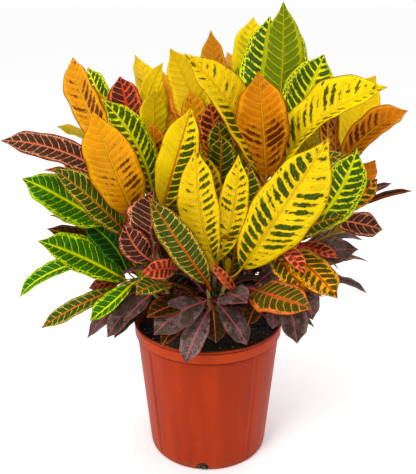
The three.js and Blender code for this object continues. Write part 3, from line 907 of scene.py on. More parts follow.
CANES = (
    Cane("cane_left", foot=(-52, -22), fork=252, shoots=(
        Shoot((-108, -52, 328), (
            Leaf(LIME, (-130, -65, 335), (-250, -110, 420), 62, FRONT_UP, 8, 0, 12),
            Leaf(GREEN, (-130, -50, 345), (-195, -60, 435), 52, FRONT_UP, 10, 8, 15),
            Leaf(BRONZE, (-145, -40, 365), (-250, -55, 420), 36, FRONT_UP, 6, 0, 20),
            Leaf(LIME, (-195, -20, 350), (-310, -40, 295), 34, FRONT_UP, 22, 0, 25),
            Leaf(GREEN_ORANGE, (-140, -60, 320), (-265, -90, 265), 32, FRONT_UP, 10, 0, 15),
            Leaf(LIME, (-120, -80, 335), (-180, -125, 295), 36, FRONT_UP, 8, -6, 35),
            Leaf(PLUM, (-115, -45, 312), (-200, -60, 230), 26, FRONT_UP, 8, 0, 10),
            Leaf(PLUM, (-105, -68, 312), (-160, -95, 250), 34, FRONT_UP, 10, 0, 10),
            Leaf(PLUM, (-90, -80, 318), (-130, -115, 290), 26, FRONT_UP, 4, 0, 10),
            Leaf(CRIMSON, (-135, -25, 320), (-200, -15, 300), 26, FRONT_UP, 4, 0, 10),
        )),
        Shoot((-82, -82, 378), (
            Leaf(WINE, (-85, -100, 380), (-76, -150, 508), 80, FRONT_LEFT, 0, 0, 45),
            Leaf(WINE, (-84, -106, 385), (-119, -130, 450), 46, FRONT, 4, -6, 10),
            Leaf(CORAL, (-50, -116, 376), (-92, -176, 396), 34, FRONT, 6, 4, 24),
            Leaf(GREEN_ORANGE, (-60, -105, 345), (-100, -185, 368), 42, FRONT_UP, 8, 0, 15),
        )),
        Shoot((-105, -42, 452), (
            Leaf(AMBER, (-110, -75, 445), (-150, -160, 615), 76, FRONT, 10, 0, 8),
            Leaf(GREEN_ORANGE, (-120, -80, 415), (-210, -150, 540), 56, FRONT_UP, 6, 0, 12),
            Leaf(LIME, (-160, -50, 425), (-270, -90, 510), 72, FRONT_UP, 4, 0, 8),
            Leaf(WINE, (-150, -30, 495), (-305, -60, 560), 52, FRONT_UP, 10, 8, 10),
            Leaf(CRIMSON, (-155, -50, 480), (-240, -80, 520), 32, UP, 8, 0, 10),
            Leaf(LIME_SPOTTED, (-85, -40, 460), (-150, -70, 620), 60, FRONT_RIGHT, 12, 10, 12),
            Leaf(HALF_GREEN, (-67, -84, 463), (-23, -118, 615), 58, FRONT, 8, 0, 12),
            Leaf(GREEN_ORANGE, (-66, -66, 445), (-20, -86, 588), 50, FRONT, 6, 0, 12),
        )),
    ), fans=(
        Fan((-138, 18, 405), azimuth=(150, 215), rise=(50, -5), length=135, width=50, finishes=(
            LIME, GREEN_ORANGE, YELLOW_SPOTTED, BRONZE, GREEN_ORANGE, PLUM, WINE,
        )),
        Fan((-92, 8, 318), azimuth=(150, 225), rise=(22, -20), length=95, width=34, finishes=(
            PLUM, BRONZE, PLUM, GREEN, PLUM,
        )),
    )),
    Cane("cane_back_left", foot=(-42, 38), fork=258, shoots=(
        Shoot((-122, 18, 528), (
            Leaf(RUST, (-150, -10, 540), (-210, 25, 670), 66, FRONT_LEFT, 8, -6, 10),
            Leaf(YELLOW, (-145, 8, 540), (-175, 30, 620), 28, BACK, 0, 0, 10),
            Leaf(LIME_SPOTTED, (-140, 30, 545), (-200, 90, 650), 50, FRONT_LEFT),
            Leaf(CRIMSON, (-112, 8, 540), (-140, 45, 640), 55, FRONT, 4, 0, 10),
            Leaf(YELLOW, (-108, 40, 560), (-75, 100, 655), 30, BACK, 0, 6),
            Leaf(YELLOW, (-88, 8, 518), (-85, 30, 620), 54, BACK_LEFT),
            Leaf(RUST, (-80, -10, 505), (-85, -15, 575), 34, FRONT),
            Leaf(YELLOW, (-155, 15, 525), (-240, 25, 565), 40, BACK_UP, 6),
        )),
    ), fans=(
        Fan((-78, 96, 505), azimuth=(78, 200), rise=(68, 18), length=150, width=60, finishes=(
            YELLOW_SPOTTED, AMBER, LIME_SPOTTED, GREEN_ORANGE, CRIMSON, YELLOW_SPOTTED, GREEN_ORANGE,
        )),
        Fan((-128, 92, 395), azimuth=(85, 200), rise=(50, 0), length=140, width=52, finishes=(
            GREEN_ORANGE, LIME, CRIMSON, GREEN_ORANGE, BRONZE, WINE, PLUM,
        )),
    )),
    Cane("cane_front", foot=(6, -48), fork=248, shoots=(
        Shoot((30, -88, 352), (
            Leaf(YELLOW_SPOTTED, (50, -110, 375), (150, -210, 590), 88, FRONT, 10, 0, 8),
            Leaf(YELLOW_SPOTTED, (10, -110, 385), (-15, -190, 575), 57, FRONT, 8, -8, 8),
            Leaf(YELLOW_SPOTTED, (14, -106, 385), (40, -170, 560), 44, FRONT, 4, 8, 12),
            Leaf(GREEN_ORANGE, (35, -85, 355), (60, -100, 535), 60, FRONT, 4, 0, 6),
            Leaf(PLUM, (25, -115, 335), (55, -175, 350), 46, FRONT_UP, 6, 0, 10),
            Leaf(YELLOW, (10, -115, 370), (-10, -130, 415), 16, FRONT, 0, 0, 10),
            Leaf(CORAL, (45, -118, 335), (5, -138, 395), 16, FRONT, 0, 0, 10),
        )),
        Shoot((0, -84, 328), (
            Leaf(GREEN_ORANGE, (0, -110, 350), (-75, -215, 515), 48, FRONT, 6, 0, 14),
            Leaf(BRONZE, (-25, -95, 318), (-90, -150, 315), 38, FRONT_UP, 4, 0, 10),
            Leaf(PLUM, (-5, -105, 318), (-80, -155, 288), 52, FRONT_UP, 8, 4, 8),
            Leaf(PLUM, (0, -112, 305), (-35, -165, 245), 38, FRONT_UP, 10, 0, 10),
            Leaf(BRONZE, (-35, -105, 298), (-70, -150, 265), 24, FRONT_UP, 4, 0, 10),
            Leaf(PLUM, (18, -100, 308), (60, -132, 258), 38, FRONT_UP, 8, 0, 10),
            Leaf(BRONZE, (8, -100, 302), (12, -125, 258), 36, FRONT_UP, 5, 0, 10),
        )),
    ), fans=(
        Fan((18, -62, 440), azimuth=(215, 330), rise=(75, 40), length=115, width=46, finishes=(
            GREEN_ORANGE, YELLOW_SPOTTED, GREEN_ORANGE, CRIMSON, GREEN_ORANGE, BRONZE,
        )),
    )),
    Cane("cane_tall", foot=(46, 8), fork=275, shoots=(
        Shoot((92, -12, 505), (
            Leaf(RUST, (90, -40, 495), (70, -90, 660), 80, FRONT, 6, 0, 10),
            Leaf(YELLOW_SPOTTED, (105, -40, 500), (250, -80, 640), 84, (-0.45, -0.55, 0.7), 18, -14, 36),
            Leaf(YELLOW_SPOTTED, (80, -45, 500), (-30, -90, 685), 72, FRONT_RIGHT, 12, 10, 25),
            Leaf(CRIMSON, (80, -30, 490), (15, -30, 595), 26, FRONT, 4, 6, 40),
            Leaf(OLIVE, (105, 5, 530), (115, 50, 750), 68, BACK, 6, -6, 8),
            Leaf(LIME_SPOTTED, (94, 25, 525), (100, 90, 730), 72, FRONT, 6, -8),
            Leaf(LIME_SPOTTED, (118, 32, 522), (135, 100, 735), 74, FRONT_RIGHT, 6, 6),
            Leaf(LIME_SPOTTED, (118, -5, 530), (180, 30, 675), 76, FRONT, 4, 0, 5),
            Leaf(GREEN_ORANGE, (95, -50, 485), (200, -85, 545), 44, FRONT_UP, 8, 0, 10),
        )),
        Shoot((18, 24, 505), (
            Leaf(YELLOW, (-5, 15, 528), (-60, 70, 680), 60, BACK, 0, -8, -10),
            Leaf(RUST, (-12, 35, 520), (-60, 90, 625), 42, FRONT),
            Leaf(CRIMSON, (25, -8, 505), (2, 0, 604), 56, FRONT),
            Leaf(GREEN_ORANGE, (25, -20, 495), (15, -40, 585), 46, FRONT, 4, 0, 8),
            Leaf(RUST, (30, 50, 550), (5, 120, 705), 46, BACK, 0, 4),
            Leaf(OLIVE, (45, 50, 550), (50, 110, 650), 26, FRONT, 0, 0, 30),
            Leaf(AMBER, (-10, 22, 515), (-28, 26, 622), 44, FRONT),
        )),
    ), fans=(
        Fan((52, 52, 450), azimuth=(15, 105), rise=(70, 20), length=130, width=50, finishes=(
            LIME, AMBER, GREEN_ORANGE, RUST, GREEN_ORANGE, WINE,
        )),
        Fan((70, 100, 545), azimuth=(15, 150), rise=(74, 28), length=165, width=64, finishes=(
            YELLOW_SPOTTED, LIME_SPOTTED, AMBER, GREEN_ORANGE, RUST, YELLOW_SPOTTED, GREEN_ORANGE,
            CRIMSON,
        )),
    )),
    Cane("cane_right", foot=(58, -38), fork=262, shoots=(
        Shoot((112, -70, 395), (
            Leaf(AMBER_GREEN, (120, -95, 400), (180, -190, 365), 56, FRONT_UP, 6, 0, 6),
            Leaf(AMBER_GREEN, (95, -90, 395), (140, -155, 358), 40, FRONT_UP, 4, 0, 6),
            Leaf(CORAL, (105, -100, 412), (135, -175, 395), 28, FRONT_UP, 4, 0, 20),
            Leaf(PLUM, (145, -50, 365), (230, -80, 395), 50, FRONT_UP, 8, 0, 8),
            Leaf(CORAL, (135, -75, 400), (190, -130, 400), 26, FRONT_UP, 4, 0, 20),
            Leaf(GREEN_ORANGE, (120, -75, 412), (195, -125, 462), 48, FRONT_UP, 6, 0, 10),
            Leaf(CORAL_GREEN, (72, -110, 340), (142, -204, 356), 66, FRONT_UP, 10, 8, 10),
            Leaf(BRONZE, (78, -98, 318), (60, -132, 292), 30, FRONT_UP, 4, 0, 6),
            Leaf(PLUM, (102, -78, 308), (102, -100, 268), 24, FRONT_UP, 4, 0, 6),
            Leaf(PLUM, (122, -85, 320), (135, -140, 265), 44, FRONT_UP, 6, 0, 6),
            Leaf(PLUM, (142, -60, 335), (165, -92, 280), 42, FRONT_UP, 6, 0, 6),
            Leaf(PLUM, (80, -80, 340), (120, -95, 375), 36, FRONT_UP, 6, 0, 6),
        )),
        Shoot((195, 5, 478), (
            Leaf(YELLOW, (228, 15, 508), (275, 90, 635), 72, BACK, 0, 6),
            Leaf(RUST, (208, -18, 512), (305, -10, 595), 60, FRONT_UP, 8, -8, 35),
            Leaf(RUST, (190, 5, 512), (194, 65, 640), 38, FRONT_RIGHT),
            Leaf(RUST, (205, 18, 512), (210, 75, 635), 52, FRONT_RIGHT),
            Leaf(RUST, (225, 0, 445), (265, 0, 515), 36, FRONT, 4),
            Leaf(AMBER_GREEN, (215, -25, 438), (260, -42, 495), 36, FRONT, 4, 0, 10),
            Leaf(PLUM, (240, 15, 450), (300, 20, 472), 16, FRONT_UP, 0, 0, 20),
            Leaf(BRONZE, (225, -5, 430), (330, 0, 465), 16, FRONT_UP, 10, 0, 40),
            Leaf(WINE, (205, -30, 425), (270, -60, 420), 48, FRONT_UP, 10, 6, 10),
            Leaf(LIME_SPOTTED, (150, -85, 425), (205, -130, 560), 62, FRONT, 6, 8, 8),
        )),
    ), fans=(
        Fan((92, -8, 311), azimuth=(-58, 20), rise=(22, -20), length=92, width=34, finishes=(
            PLUM, BRONZE, PLUM, GREEN, PLUM,
        )),
        Fan((150, 20, 400), azimuth=(-30, 32), rise=(50, -8), length=135, width=50, finishes=(
            AMBER, RUST, GREEN_ORANGE, YELLOW_SPOTTED, BRONZE, WINE, PLUM,
        )),
        Fan((150, 88, 425), azimuth=(-20, 95), rise=(60, 5), length=145, width=54, finishes=(
            YELLOW_SPOTTED, GREEN_ORANGE, RUST, AMBER_GREEN, GREEN_ORANGE, BRONZE, PLUM,
        )),
    )),
    Cane("cane_back", foot=(2, 62), fork=250, shoots=(), fans=(
        Fan((-10, 96, 415), azimuth=(45, 140), rise=(72, 15), length=125, width=48, finishes=(
            LIME_SPOTTED, GREEN_ORANGE, YELLOW_SPOTTED, CRIMSON, GREEN_ORANGE, WINE,
        )),
        Fan((0, 108, 335), azimuth=(65, 115), rise=(20, -20), length=105, width=38, finishes=(
            PLUM, BRONZE, PLUM, PLUM,
        )),
        Fan((-5, 150, 398), azimuth=(40, 150), rise=(54, 5), length=150, width=56, finishes=(
            YELLOW_SPOTTED, AMBER, GREEN_ORANGE, LIME, CRIMSON, GREEN_ORANGE, BRONZE,
        )),
        Fan((-72, 128, 322), azimuth=(95, 190), rise=(25, -25), length=115, width=42, finishes=(
            GREEN_ORANGE, PLUM, BRONZE, PLUM, WINE, PLUM,
        )),
        Fan((72, 128, 322), azimuth=(-10, 85), rise=(25, -25), length=115, width=42, finishes=(
            BRONZE, GREEN_ORANGE, PLUM, WINE, PLUM, PLUM,
        )),
    )),
)


# ---- meshes ----


def spline(points: list[Vector], steps: int) -> list[Vector]:
    """Runs a smooth line through points.

    Args:
        points: Two or more points.
        steps: How many steps the line takes between each two.

    Returns:
        The points along the line, both ends among them.
    """
    ends = [points[0] * 2 - points[1], *points, points[-1] * 2 - points[-2]]
    line = []
    for before, start, stop, after in zip(ends, ends[1:], ends[2:], ends[3:]):
        for step in range(steps):
            t = step / steps
            pull = (stop - before) * 0.5 * (t - 2 * t * t + t**3)
            reach = (after - start) * 0.5 * (t**3 - t * t)
            line.append(start * (2 * t**3 - 3 * t * t + 1) + stop * (3 * t * t - 2 * t**3) + pull + reach)
    return [*line, points[-1].copy()]


def direction(heading: float, slope: float) -> Vector:
    """The direction at that angle from the right, and that angle above level, in radians."""
    level = math.cos(slope)
    return Vector((math.cos(heading) * level, math.sin(heading) * level, math.sin(slope)))


def picked(items: list, kind: type) -> list:
    """The items of one kind, out of those that an operator gives back."""
    return [item for item in items if isinstance(item, kind)]


def faces_round(verts: list[BMVert]) -> list[BMFace]:
    """All the faces that touch any of the vertices."""
    return list(dict.fromkeys(face for vert in verts for face in vert.link_faces))


def drawn_out(mesh: BMesh, edges: list[BMEdge]) -> tuple[list, list, list]:
    """Extrudes a ring of edges.

    Args:
        mesh: Their mesh.
        edges: The edges.

    Returns:
        The new ring's vertices, its edges, and the faces between the two rings.
    """
    made = bmesh.ops.extrude_edge_only(mesh, edges=edges)["geom"]
    kinds = (BMVert, BMEdge, BMFace)
    return tuple(picked(made, kind) for kind in kinds)


def random_vector(draw: random.Random, *spans: tuple[float, float]) -> Vector:
    """A vector whose parts are drawn one by one, each from its span."""
    return Vector([draw.uniform(*span) for span in spans])


def to_object(mesh: BMesh, name: str, smooth: bool = True) -> bpy.types.Object:
    """Turns a finished mesh into an object of the scene.

    Args:
        mesh: The mesh, which is freed.
        name: The object's name.
        smooth: Whether its faces are shaded smooth.

    Returns:
        The new object, at the origin.
    """
    for face in mesh.faces:
        face.smooth = smooth
    data = bpy.data.meshes.new(name)
    mesh.to_mesh(data)
    mesh.free()
    piece = bpy.data.objects.new(name, data)
    bpy.context.scene.collection.objects.link(piece)
    return piece


def carry(piece: bpy.types.Object, node: str) -> None:
    """Sets a finished piece in the frame in place of a CAD node.

    Args:
        piece: The piece.
        node: The CAD node that it stands for.
    """
    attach(piece, BODY)
    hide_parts(node)
    log.info("%s: %d faces, for %s", piece.name, len(piece.data.polygons), node)


@dataclass
class Blade:
    """The surface of one leaf's blade, as a place for each share across and along it."""

    leaf: Leaf
    number: int

    BASE_POWER = 0.76  # how full the blade is towards its base
    TIP_POWER = 0.66
    POINT = 0.18  # the share of the length over which the tip is drawn out to a point
    PINCH = 0.62
    WAVER = 0.032  # how far the outline wavers, as a share of the half width
    LOPSIDED = 0.08  # how much wider one half is than the middle of the two, as a share
    WAVER_TURNS = 3.1
    TWIST = math.radians(9)
    MARGIN_WAVE = 0.10  # rise of the wavy margin, as a share of the half width
    WAVE_TURNS = 1.4
    RUFFLE = 0.035  # rise of the short ripples on it
    RUFFLE_TURNS = 4.6
    CUP = 0.05  # how far the margin curls back
    DROOP = 0.020  # how far the tip nods, as a share of the length
    NOD_FROM = 0.7  # the share of the length from which it does
    SWELL = 0.4 * MM  # how far a cell rises between its veins
    CHANNEL = 0.55 * MM  # how deep the midrib lies
    CHANNEL_HALF = 1.6 * MM
    VEIN_PITCH = 11.5 * MM
    VEIN_LEAN = 0.42  # how far side veins run forward, for each step out from the midrib
    VEIN_CURVE = 0.36
    STALK_HALF = 1.6 * MM
    TIP_HALF = 0.25 * MM

    def __post_init__(self) -> None:
        """Works out the blade's own axes."""
        self.base = Vector(self.leaf.base) * MM
        self.run = Vector(self.leaf.tip) * MM - self.base
        self.length = self.run.length
        along = self.run.normalized()
        up = Vector(self.leaf.facing)
        self.up = (up - along * up.dot(along)).normalized()
        self.bow = (self.up * self.leaf.arch + along.cross(self.up) * self.leaf.bend) * MM
        self.fold = math.radians(self.leaf.fold)
        self.pairs = min(max(round(self.length / self.VEIN_PITCH), 6), 17)
        # Here and below, the leaf's number and length together give it waves and a twist of its own.
        self.lean = self.LOPSIDED * math.sin(2.9 * self.number + self.length * 130)

    def spine(self, along: float) -> tuple[Vector, Vector, Vector]:
        """The midrib at a share of the length.

        Args:
            along: The share, from 0 at the base to 1 at the tip.

        Returns:
            The point, the direction out of the upper face, and the direction to the right.
        """
        nod = max(along - self.NOD_FROM, 0.0) / (1 - self.NOD_FROM)
        droop = self.length * self.DROOP * nod**2
        centre = self.base + self.run * along + self.bow * (4 * along * (1 - along)) - self.up * droop
        heading = (self.run + self.bow * (4 * (1 - 2 * along))).normalized()
        up = (self.up - heading * self.up.dot(heading)).normalized()
        twist = self.TWIST * math.sin(2.1 * self.number + self.length * 60) * (along - 0.25)
        up = Matrix.Rotation(twist, 3, heading) @ up
        return centre, up, heading.cross(up)

    def half(self, along: float, right: bool) -> float:
        """The width of the right or the left half at a share of the length.

        Args:
            along: The share, from 0 at the base to 1 at the tip.
            right: Whether the right half is meant.

        Returns:
            The distance from the midrib to the margin.
        """
        fullest = self.BASE_POWER / (self.BASE_POWER + self.TIP_POWER)
        most = fullest**self.BASE_POWER * (1 - fullest) ** self.TIP_POWER
        shape = along**self.BASE_POWER * (1 - along) ** self.TIP_POWER
        drawn = max(along - 1 + self.POINT, 0.0) / self.POINT
        shape *= 1 - self.PINCH * drawn * drawn * (3 - 2 * drawn)
        turn = math.tau * self.WAVER_TURNS * along + 1.7 * self.number + self.length * 90
        shape *= 1 + self.WAVER * math.sin(turn + (2.4 if right else 0.0))
        shape *= 1 + (self.lean if right else -self.lean)
        least = self.STALK_HALF * (1 - along) + self.TIP_HALF * along
        return max(self.leaf.width * MM / 2 * shape / most, least)

    def passed(self, across: float, along: float, right: bool) -> float:
        """How many side veins lie between the base and a point, which is whole on a vein.

        Args:
            across: The share across, from -1 to 1.
            along: The share along, from 0 to 1.
            right: Whether to count the veins of the right half.

        Returns:
            The count, as the shader and the swell between the veins read it.
        """
        out = abs(across) * self.half(along, right)
        forward = out * (self.VEIN_LEAN + self.VEIN_CURVE * abs(across))
        return self.pairs * (along * self.length - forward) / self.length + (0.5 if right else 0.0) + 20.0

    def lift(self, across: float, along: float, half: float) -> float:
        """How far the surface stands out of the midrib's plane.

        Args:
            across: The share across, from -1 to 1.
            along: The share along, from 0 to 1.
            half: The half width there.

        Returns:
            The rise along the upper face's direction.
        """
        out = abs(across)
        side = 2.0 if across > 0 else 0.0
        wave = self.MARGIN_WAVE * math.sin(math.tau * self.WAVE_TURNS * along + self.number + side)
        ripple = self.RUFFLE * math.sin(math.tau * self.RUFFLE_TURNS * along + 2.3 * self.number + side)
        bent = math.sin(self.fold) * out**1.25 + wave * out**1.6 + ripple * out**3 - self.CUP * out**4
        rise = half * bent
        middle = 2 * abs(self.passed(across, along, across > 0) % 1 - 0.5)
        full = math.sin(math.pi * min(out * 1.1, 1.0)) * min(half / (20 * MM), 1.0)
        swell = self.SWELL * (1 - middle**2) * full
        channel = self.CHANNEL * math.exp(-((across * half / self.CHANNEL_HALF) ** 2)) * (1 - along)
        return rise + swell - channel


class Patch:
    """A small mesh in the making, with the layers that leaves and stems carry."""

    def __init__(self) -> None:
        """Starts the mesh and its layers."""
        self.mesh = bmesh.new()
        self.across = self.mesh.verts.layers.float.new("across")
        self.along = self.mesh.verts.layers.float.new("along")
        self.lower = self.mesh.verts.layers.int.new("lower")
        self.sheet = self.mesh.faces.layers.int.new("sheet")
        self.part = self.mesh.faces.layers.float.new(PART)
        self.chance = self.mesh.faces.layers.float_vector.new(CHANCE)
        self.baked = self.mesh.loops.layers.uv.new(BAKE_MAP)
        self.shares = self.mesh.loops.layers.uv.new(SHARES_MAP)
        self.veins = self.mesh.loops.layers.uv.new(VEINS_MAP)


class Growth:
    """One cane's mesh, gathered from patches for its blades and stems."""

    MIDRIB_DRAW = 1.3  # draws a blade's columns of faces towards its midrib
    BEYOND = 0.04  # how far outside a blade's outline its rim's lower edge lies, in the maps
    SHEET_HALF = 1.1  # how far out a sheet of the bake reaches, where a blade's margin is 1
    SHEET_LENGTH = 1 + 2 * BEYOND
    STEM_SHEET = 0.7  # the height of a stem's sheet, as a share of its length
    NO_VEIN = (0.0, 20.0)  # where a stem lies in the map of veins

    def __init__(self, name: str) -> None:
        """Starts an empty cane.

        Args:
            name: The name of its object.
        """
        self.name = name
        self.mesh = bmesh.new()
        self.sheets: list[tuple[float, float]] = []
        self.finishes: list[Finish] = []

    def wear(
        self,
        patch: Patch,
        faces: list[BMFace],
        finish: Finish,
        part: Part,
        chance: Vector,
        size: tuple[float, float],
    ) -> None:
        """Gives faces their finish and a sheet of their own in the bake.

        Args:
            patch: The patch that they belong to.
            faces: The faces of one blade's side, or of one stem.
            finish: Their finish.
            part: Which part of a leaf they are.
            chance: Their leaf's three random numbers.
            size: The sheet's width and height, as large as the real surface.
        """
        if finish not in self.finishes:
            self.finishes.append(finish)
        index = self.finishes.index(finish)
        for face in faces:
            face.material_index = index
            face[patch.sheet] = len(self.sheets)
            face[patch.part] = part.value
            face[patch.chance] = chance
        self.sheets.append(size)

    def take(self, patch: Patch) -> None:
        """Adds a finished patch to the cane's mesh.

        Args:
            patch: The patch, whose own mesh is freed.
        """
        data = bpy.data.meshes.new("patch")
        patch.mesh.to_mesh(data)
        patch.mesh.free()
        self.mesh.from_mesh(data)
        bpy.data.meshes.remove(data)

    def blade(self, blade: Blade, columns: int, rows: int, thickness: float, chance: Vector) -> None:
        """Adds a blade as a thin closed shell.

        Args:
            blade: Its surface.
            columns: Faces across it.
            rows: Faces along it.
            thickness: How thick the shell is.
            chance: Three random numbers for its colours.
        """
        patch = Patch()
        mesh = patch.mesh
        upper = bmesh.ops.create_grid(mesh, x_segments=columns, y_segments=rows, size=1.0)["verts"]
        spines = [blade.spine(row / rows) for row in range(rows + 1)]
        for vert in upper:
            vert[patch.across] = math.copysign(abs(vert.co.x) ** self.MIDRIB_DRAW, vert.co.x)
            vert[patch.along] = round((vert.co.y + 1) / 2 * rows) / rows
        tops = list(mesh.faces)
        copied = bmesh.ops.duplicate(mesh, geom=upper + list(mesh.edges) + tops)["geom"]
        lower, bottoms = picked(copied, BMVert), picked(copied, BMFace)
        bmesh.ops.reverse_faces(mesh, faces=bottoms)
        for verts, skin in ((upper, thickness / 2), (lower, -thickness / 2)):
            for vert in verts:
                across, along = vert[patch.across], vert[patch.along]
                centre, up, side = spines[round(along * rows)]
                half = blade.half(along, across > 0)
                width = half * math.cos(blade.fold) * across
                vert.co = centre + side * width + up * (blade.lift(across, along, half) + skin)
                vert[patch.lower] = skin < 0
        rim = bmesh.ops.bridge_loops(mesh, edges=[edge for edge in mesh.edges if edge.is_boundary])["faces"]
        bmesh.ops.recalc_face_normals(mesh, faces=mesh.faces)
        size = (blade.leaf.width * MM * self.SHEET_HALF, blade.length * self.SHEET_LENGTH)
        self.wear(patch, tops + rim, blade.leaf.finish, Part.UPPER, chance, size)
        self.wear(patch, bottoms, blade.leaf.finish, Part.UNDER, chance, size)
        self.chart_blade(patch, blade)
        self.take(patch)

    def chart_blade(self, patch: Patch, blade: Blade) -> None:
        """Writes a blade's maps. On the rim, the lower edge lies just outside the blade's outline.

        Args:
            patch: The blade's mesh.
            blade: Its surface.
        """
        for face in patch.mesh.faces:
            right = sum(vert[patch.across] for vert in face.verts) > 0
            rim = face[patch.part] == Part.UPPER.value and any(vert[patch.lower] for vert in face.verts)
            for loop in face.loops:
                across, along = loop.vert[patch.across], loop.vert[patch.along]
                if rim and loop.vert[patch.lower]:
                    if abs(across) > 0.999:
                        across *= 1 + self.BEYOND
                    if along < 0.001 or along > 0.999:
                        along += math.copysign(self.BEYOND / 2, along - 0.5)
                loop[patch.shares].uv = (across, along)
                inside = min(max(along, 0.0), 1.0)
                from_rib = across * blade.half(inside, right)
                loop[patch.veins].uv = (from_rib, blade.passed(across, inside, right))
                u = (across + self.SHEET_HALF) / (2 * self.SHEET_HALF)
                loop[patch.baked].uv = (u, (along + self.BEYOND) / self.SHEET_LENGTH)

    def tube(
        self,
        path: list[Vector],
        radii: list[float],
        sides: int,
        finish: Finish,
        chance: Vector,
    ) -> None:
        """Adds a round stem by drawing a ring out along a path.

        Args:
            path: The points of its centre line.
            radii: Its radius at each.
            sides: Faces round it.
            finish: What it wears.
            chance: Three random numbers for its colours.
        """
        patch = Patch()
        mesh = patch.mesh
        headings = [(b - a).normalized() for a, b in zip([path[0], *path], [*path[1:], path[-1]])]
        headings[0] = (path[1] - path[0]).normalized()
        turn = Vector((0, 0, 1)).rotation_difference(headings[0])
        ring = bmesh.ops.create_circle(mesh, cap_ends=True, segments=sides, radius=1.0)["verts"]
        edges = list(mesh.edges)
        for index, vert in enumerate(ring):
            vert[patch.across] = index / sides
        was = Matrix.Identity(4)
        for step, (point, radius) in enumerate(zip(path, radii)):
            if step:
                turn = headings[step - 1].rotation_difference(headings[step]) @ turn
                ring, edges, _ = drawn_out(mesh, edges)
            now = Matrix.LocRotScale(point, turn, Vector((radius, radius, radius)))
            bmesh.ops.transform(mesh, matrix=now @ was.inverted(), verts=ring)
            for vert in ring:
                vert[patch.along] = step / (len(path) - 1)
            was = now
        bmesh.ops.edgeloop_fill(mesh, edges=edges)
        bmesh.ops.recalc_face_normals(mesh, faces=mesh.faces)
        size = (math.tau * max(radii), (path[-1] - path[0]).length * self.STEM_SHEET)
        self.wear(patch, list(mesh.faces), finish, Part.STALK, chance, size)
        for face in mesh.faces:
            self.chart_tube(patch, face)
        self.take(patch)

    def chart_tube(self, patch: Patch, face: BMFace) -> None:
        """Writes one stem face's maps; a cap becomes a small disc beyond the stem's end.

        Args:
            patch: The stem's mesh.
            face: The face.
        """
        turns = [vert[patch.across] for vert in face.verts]
        cap = len(turns) > 4
        seam = not cap and max(turns) - min(turns) > 0.5
        for loop in face.loops:
            across, along = loop.vert[patch.across], loop.vert[patch.along]
            if cap:
                spin = math.tau * across
                along += math.copysign(0.02, along - 0.5) + 0.01 * math.sin(spin)
                across = 0.5 + 0.2 * math.cos(spin)
            elif seam and across < 0.5:
                across += 1.0
            loop[patch.shares].uv = (across, along)
            loop[patch.veins].uv = self.NO_VEIN
            loop[patch.baked].uv = (across * 0.9 + 0.05, (along + self.BEYOND) / self.SHEET_LENGTH)

    def shelved(self) -> tuple[list[tuple[float, float]], float]:
        """Sets the sheets out on shelves, the tallest first.

        Returns:
            The lower left corner of each sheet, and the side of the square that holds them all.
        """
        side = math.sqrt(sum(width * height for width, height in self.sheets) * 1.06)
        corners = [(0.0, 0.0)] * len(self.sheets)
        x, y, shelf = 0.0, 0.0, 0.0
        for index in sorted(range(len(self.sheets)), key=lambda index: -self.sheets[index][1]):
            width, height = self.sheets[index]
            if x + width > side:
                x, y, shelf = 0.0, y + shelf, 0.0
            corners[index] = (x, y)
            x, shelf = x + width, max(shelf, height)
        return corners, max(side, y + shelf)

    def grown(self) -> bpy.types.Object:
        """Lays the sheets out in the bake's map and closes the mesh.

        Returns:
            The cane's object, in its materials.
        """
        mesh = self.mesh
        corners, side = self.shelved()
        sheet, baked = mesh.faces.layers.int["sheet"], mesh.loops.layers.uv[BAKE_MAP]
        for face in mesh.faces:
            (x, y), (width, height) = corners[face[sheet]], self.sheets[face[sheet]]
            for loop in face.loops:
                u, v = loop[baked].uv
                place = (x + width * (0.03 + 0.94 * u), y + height * (0.02 + 0.96 * v))
                loop[baked].uv = (place[0] / side, place[1] / side)
        for name in ("across", "along"):
            mesh.verts.layers.float.remove(mesh.verts.layers.float[name])
        mesh.verts.layers.int.remove(mesh.verts.layers.int["lower"])
        mesh.faces.layers.int.remove(mesh.faces.layers.int["sheet"])
        piece = to_object(mesh, self.name)
        for finish in self.finishes:
            piece.data.materials.append(wardrobe(finish))
        return piece


@cache
def wardrobe(finish: Finish) -> bpy.types.Material:
    """The one material of a finish, made when it is first asked for."""
    return finish.material()


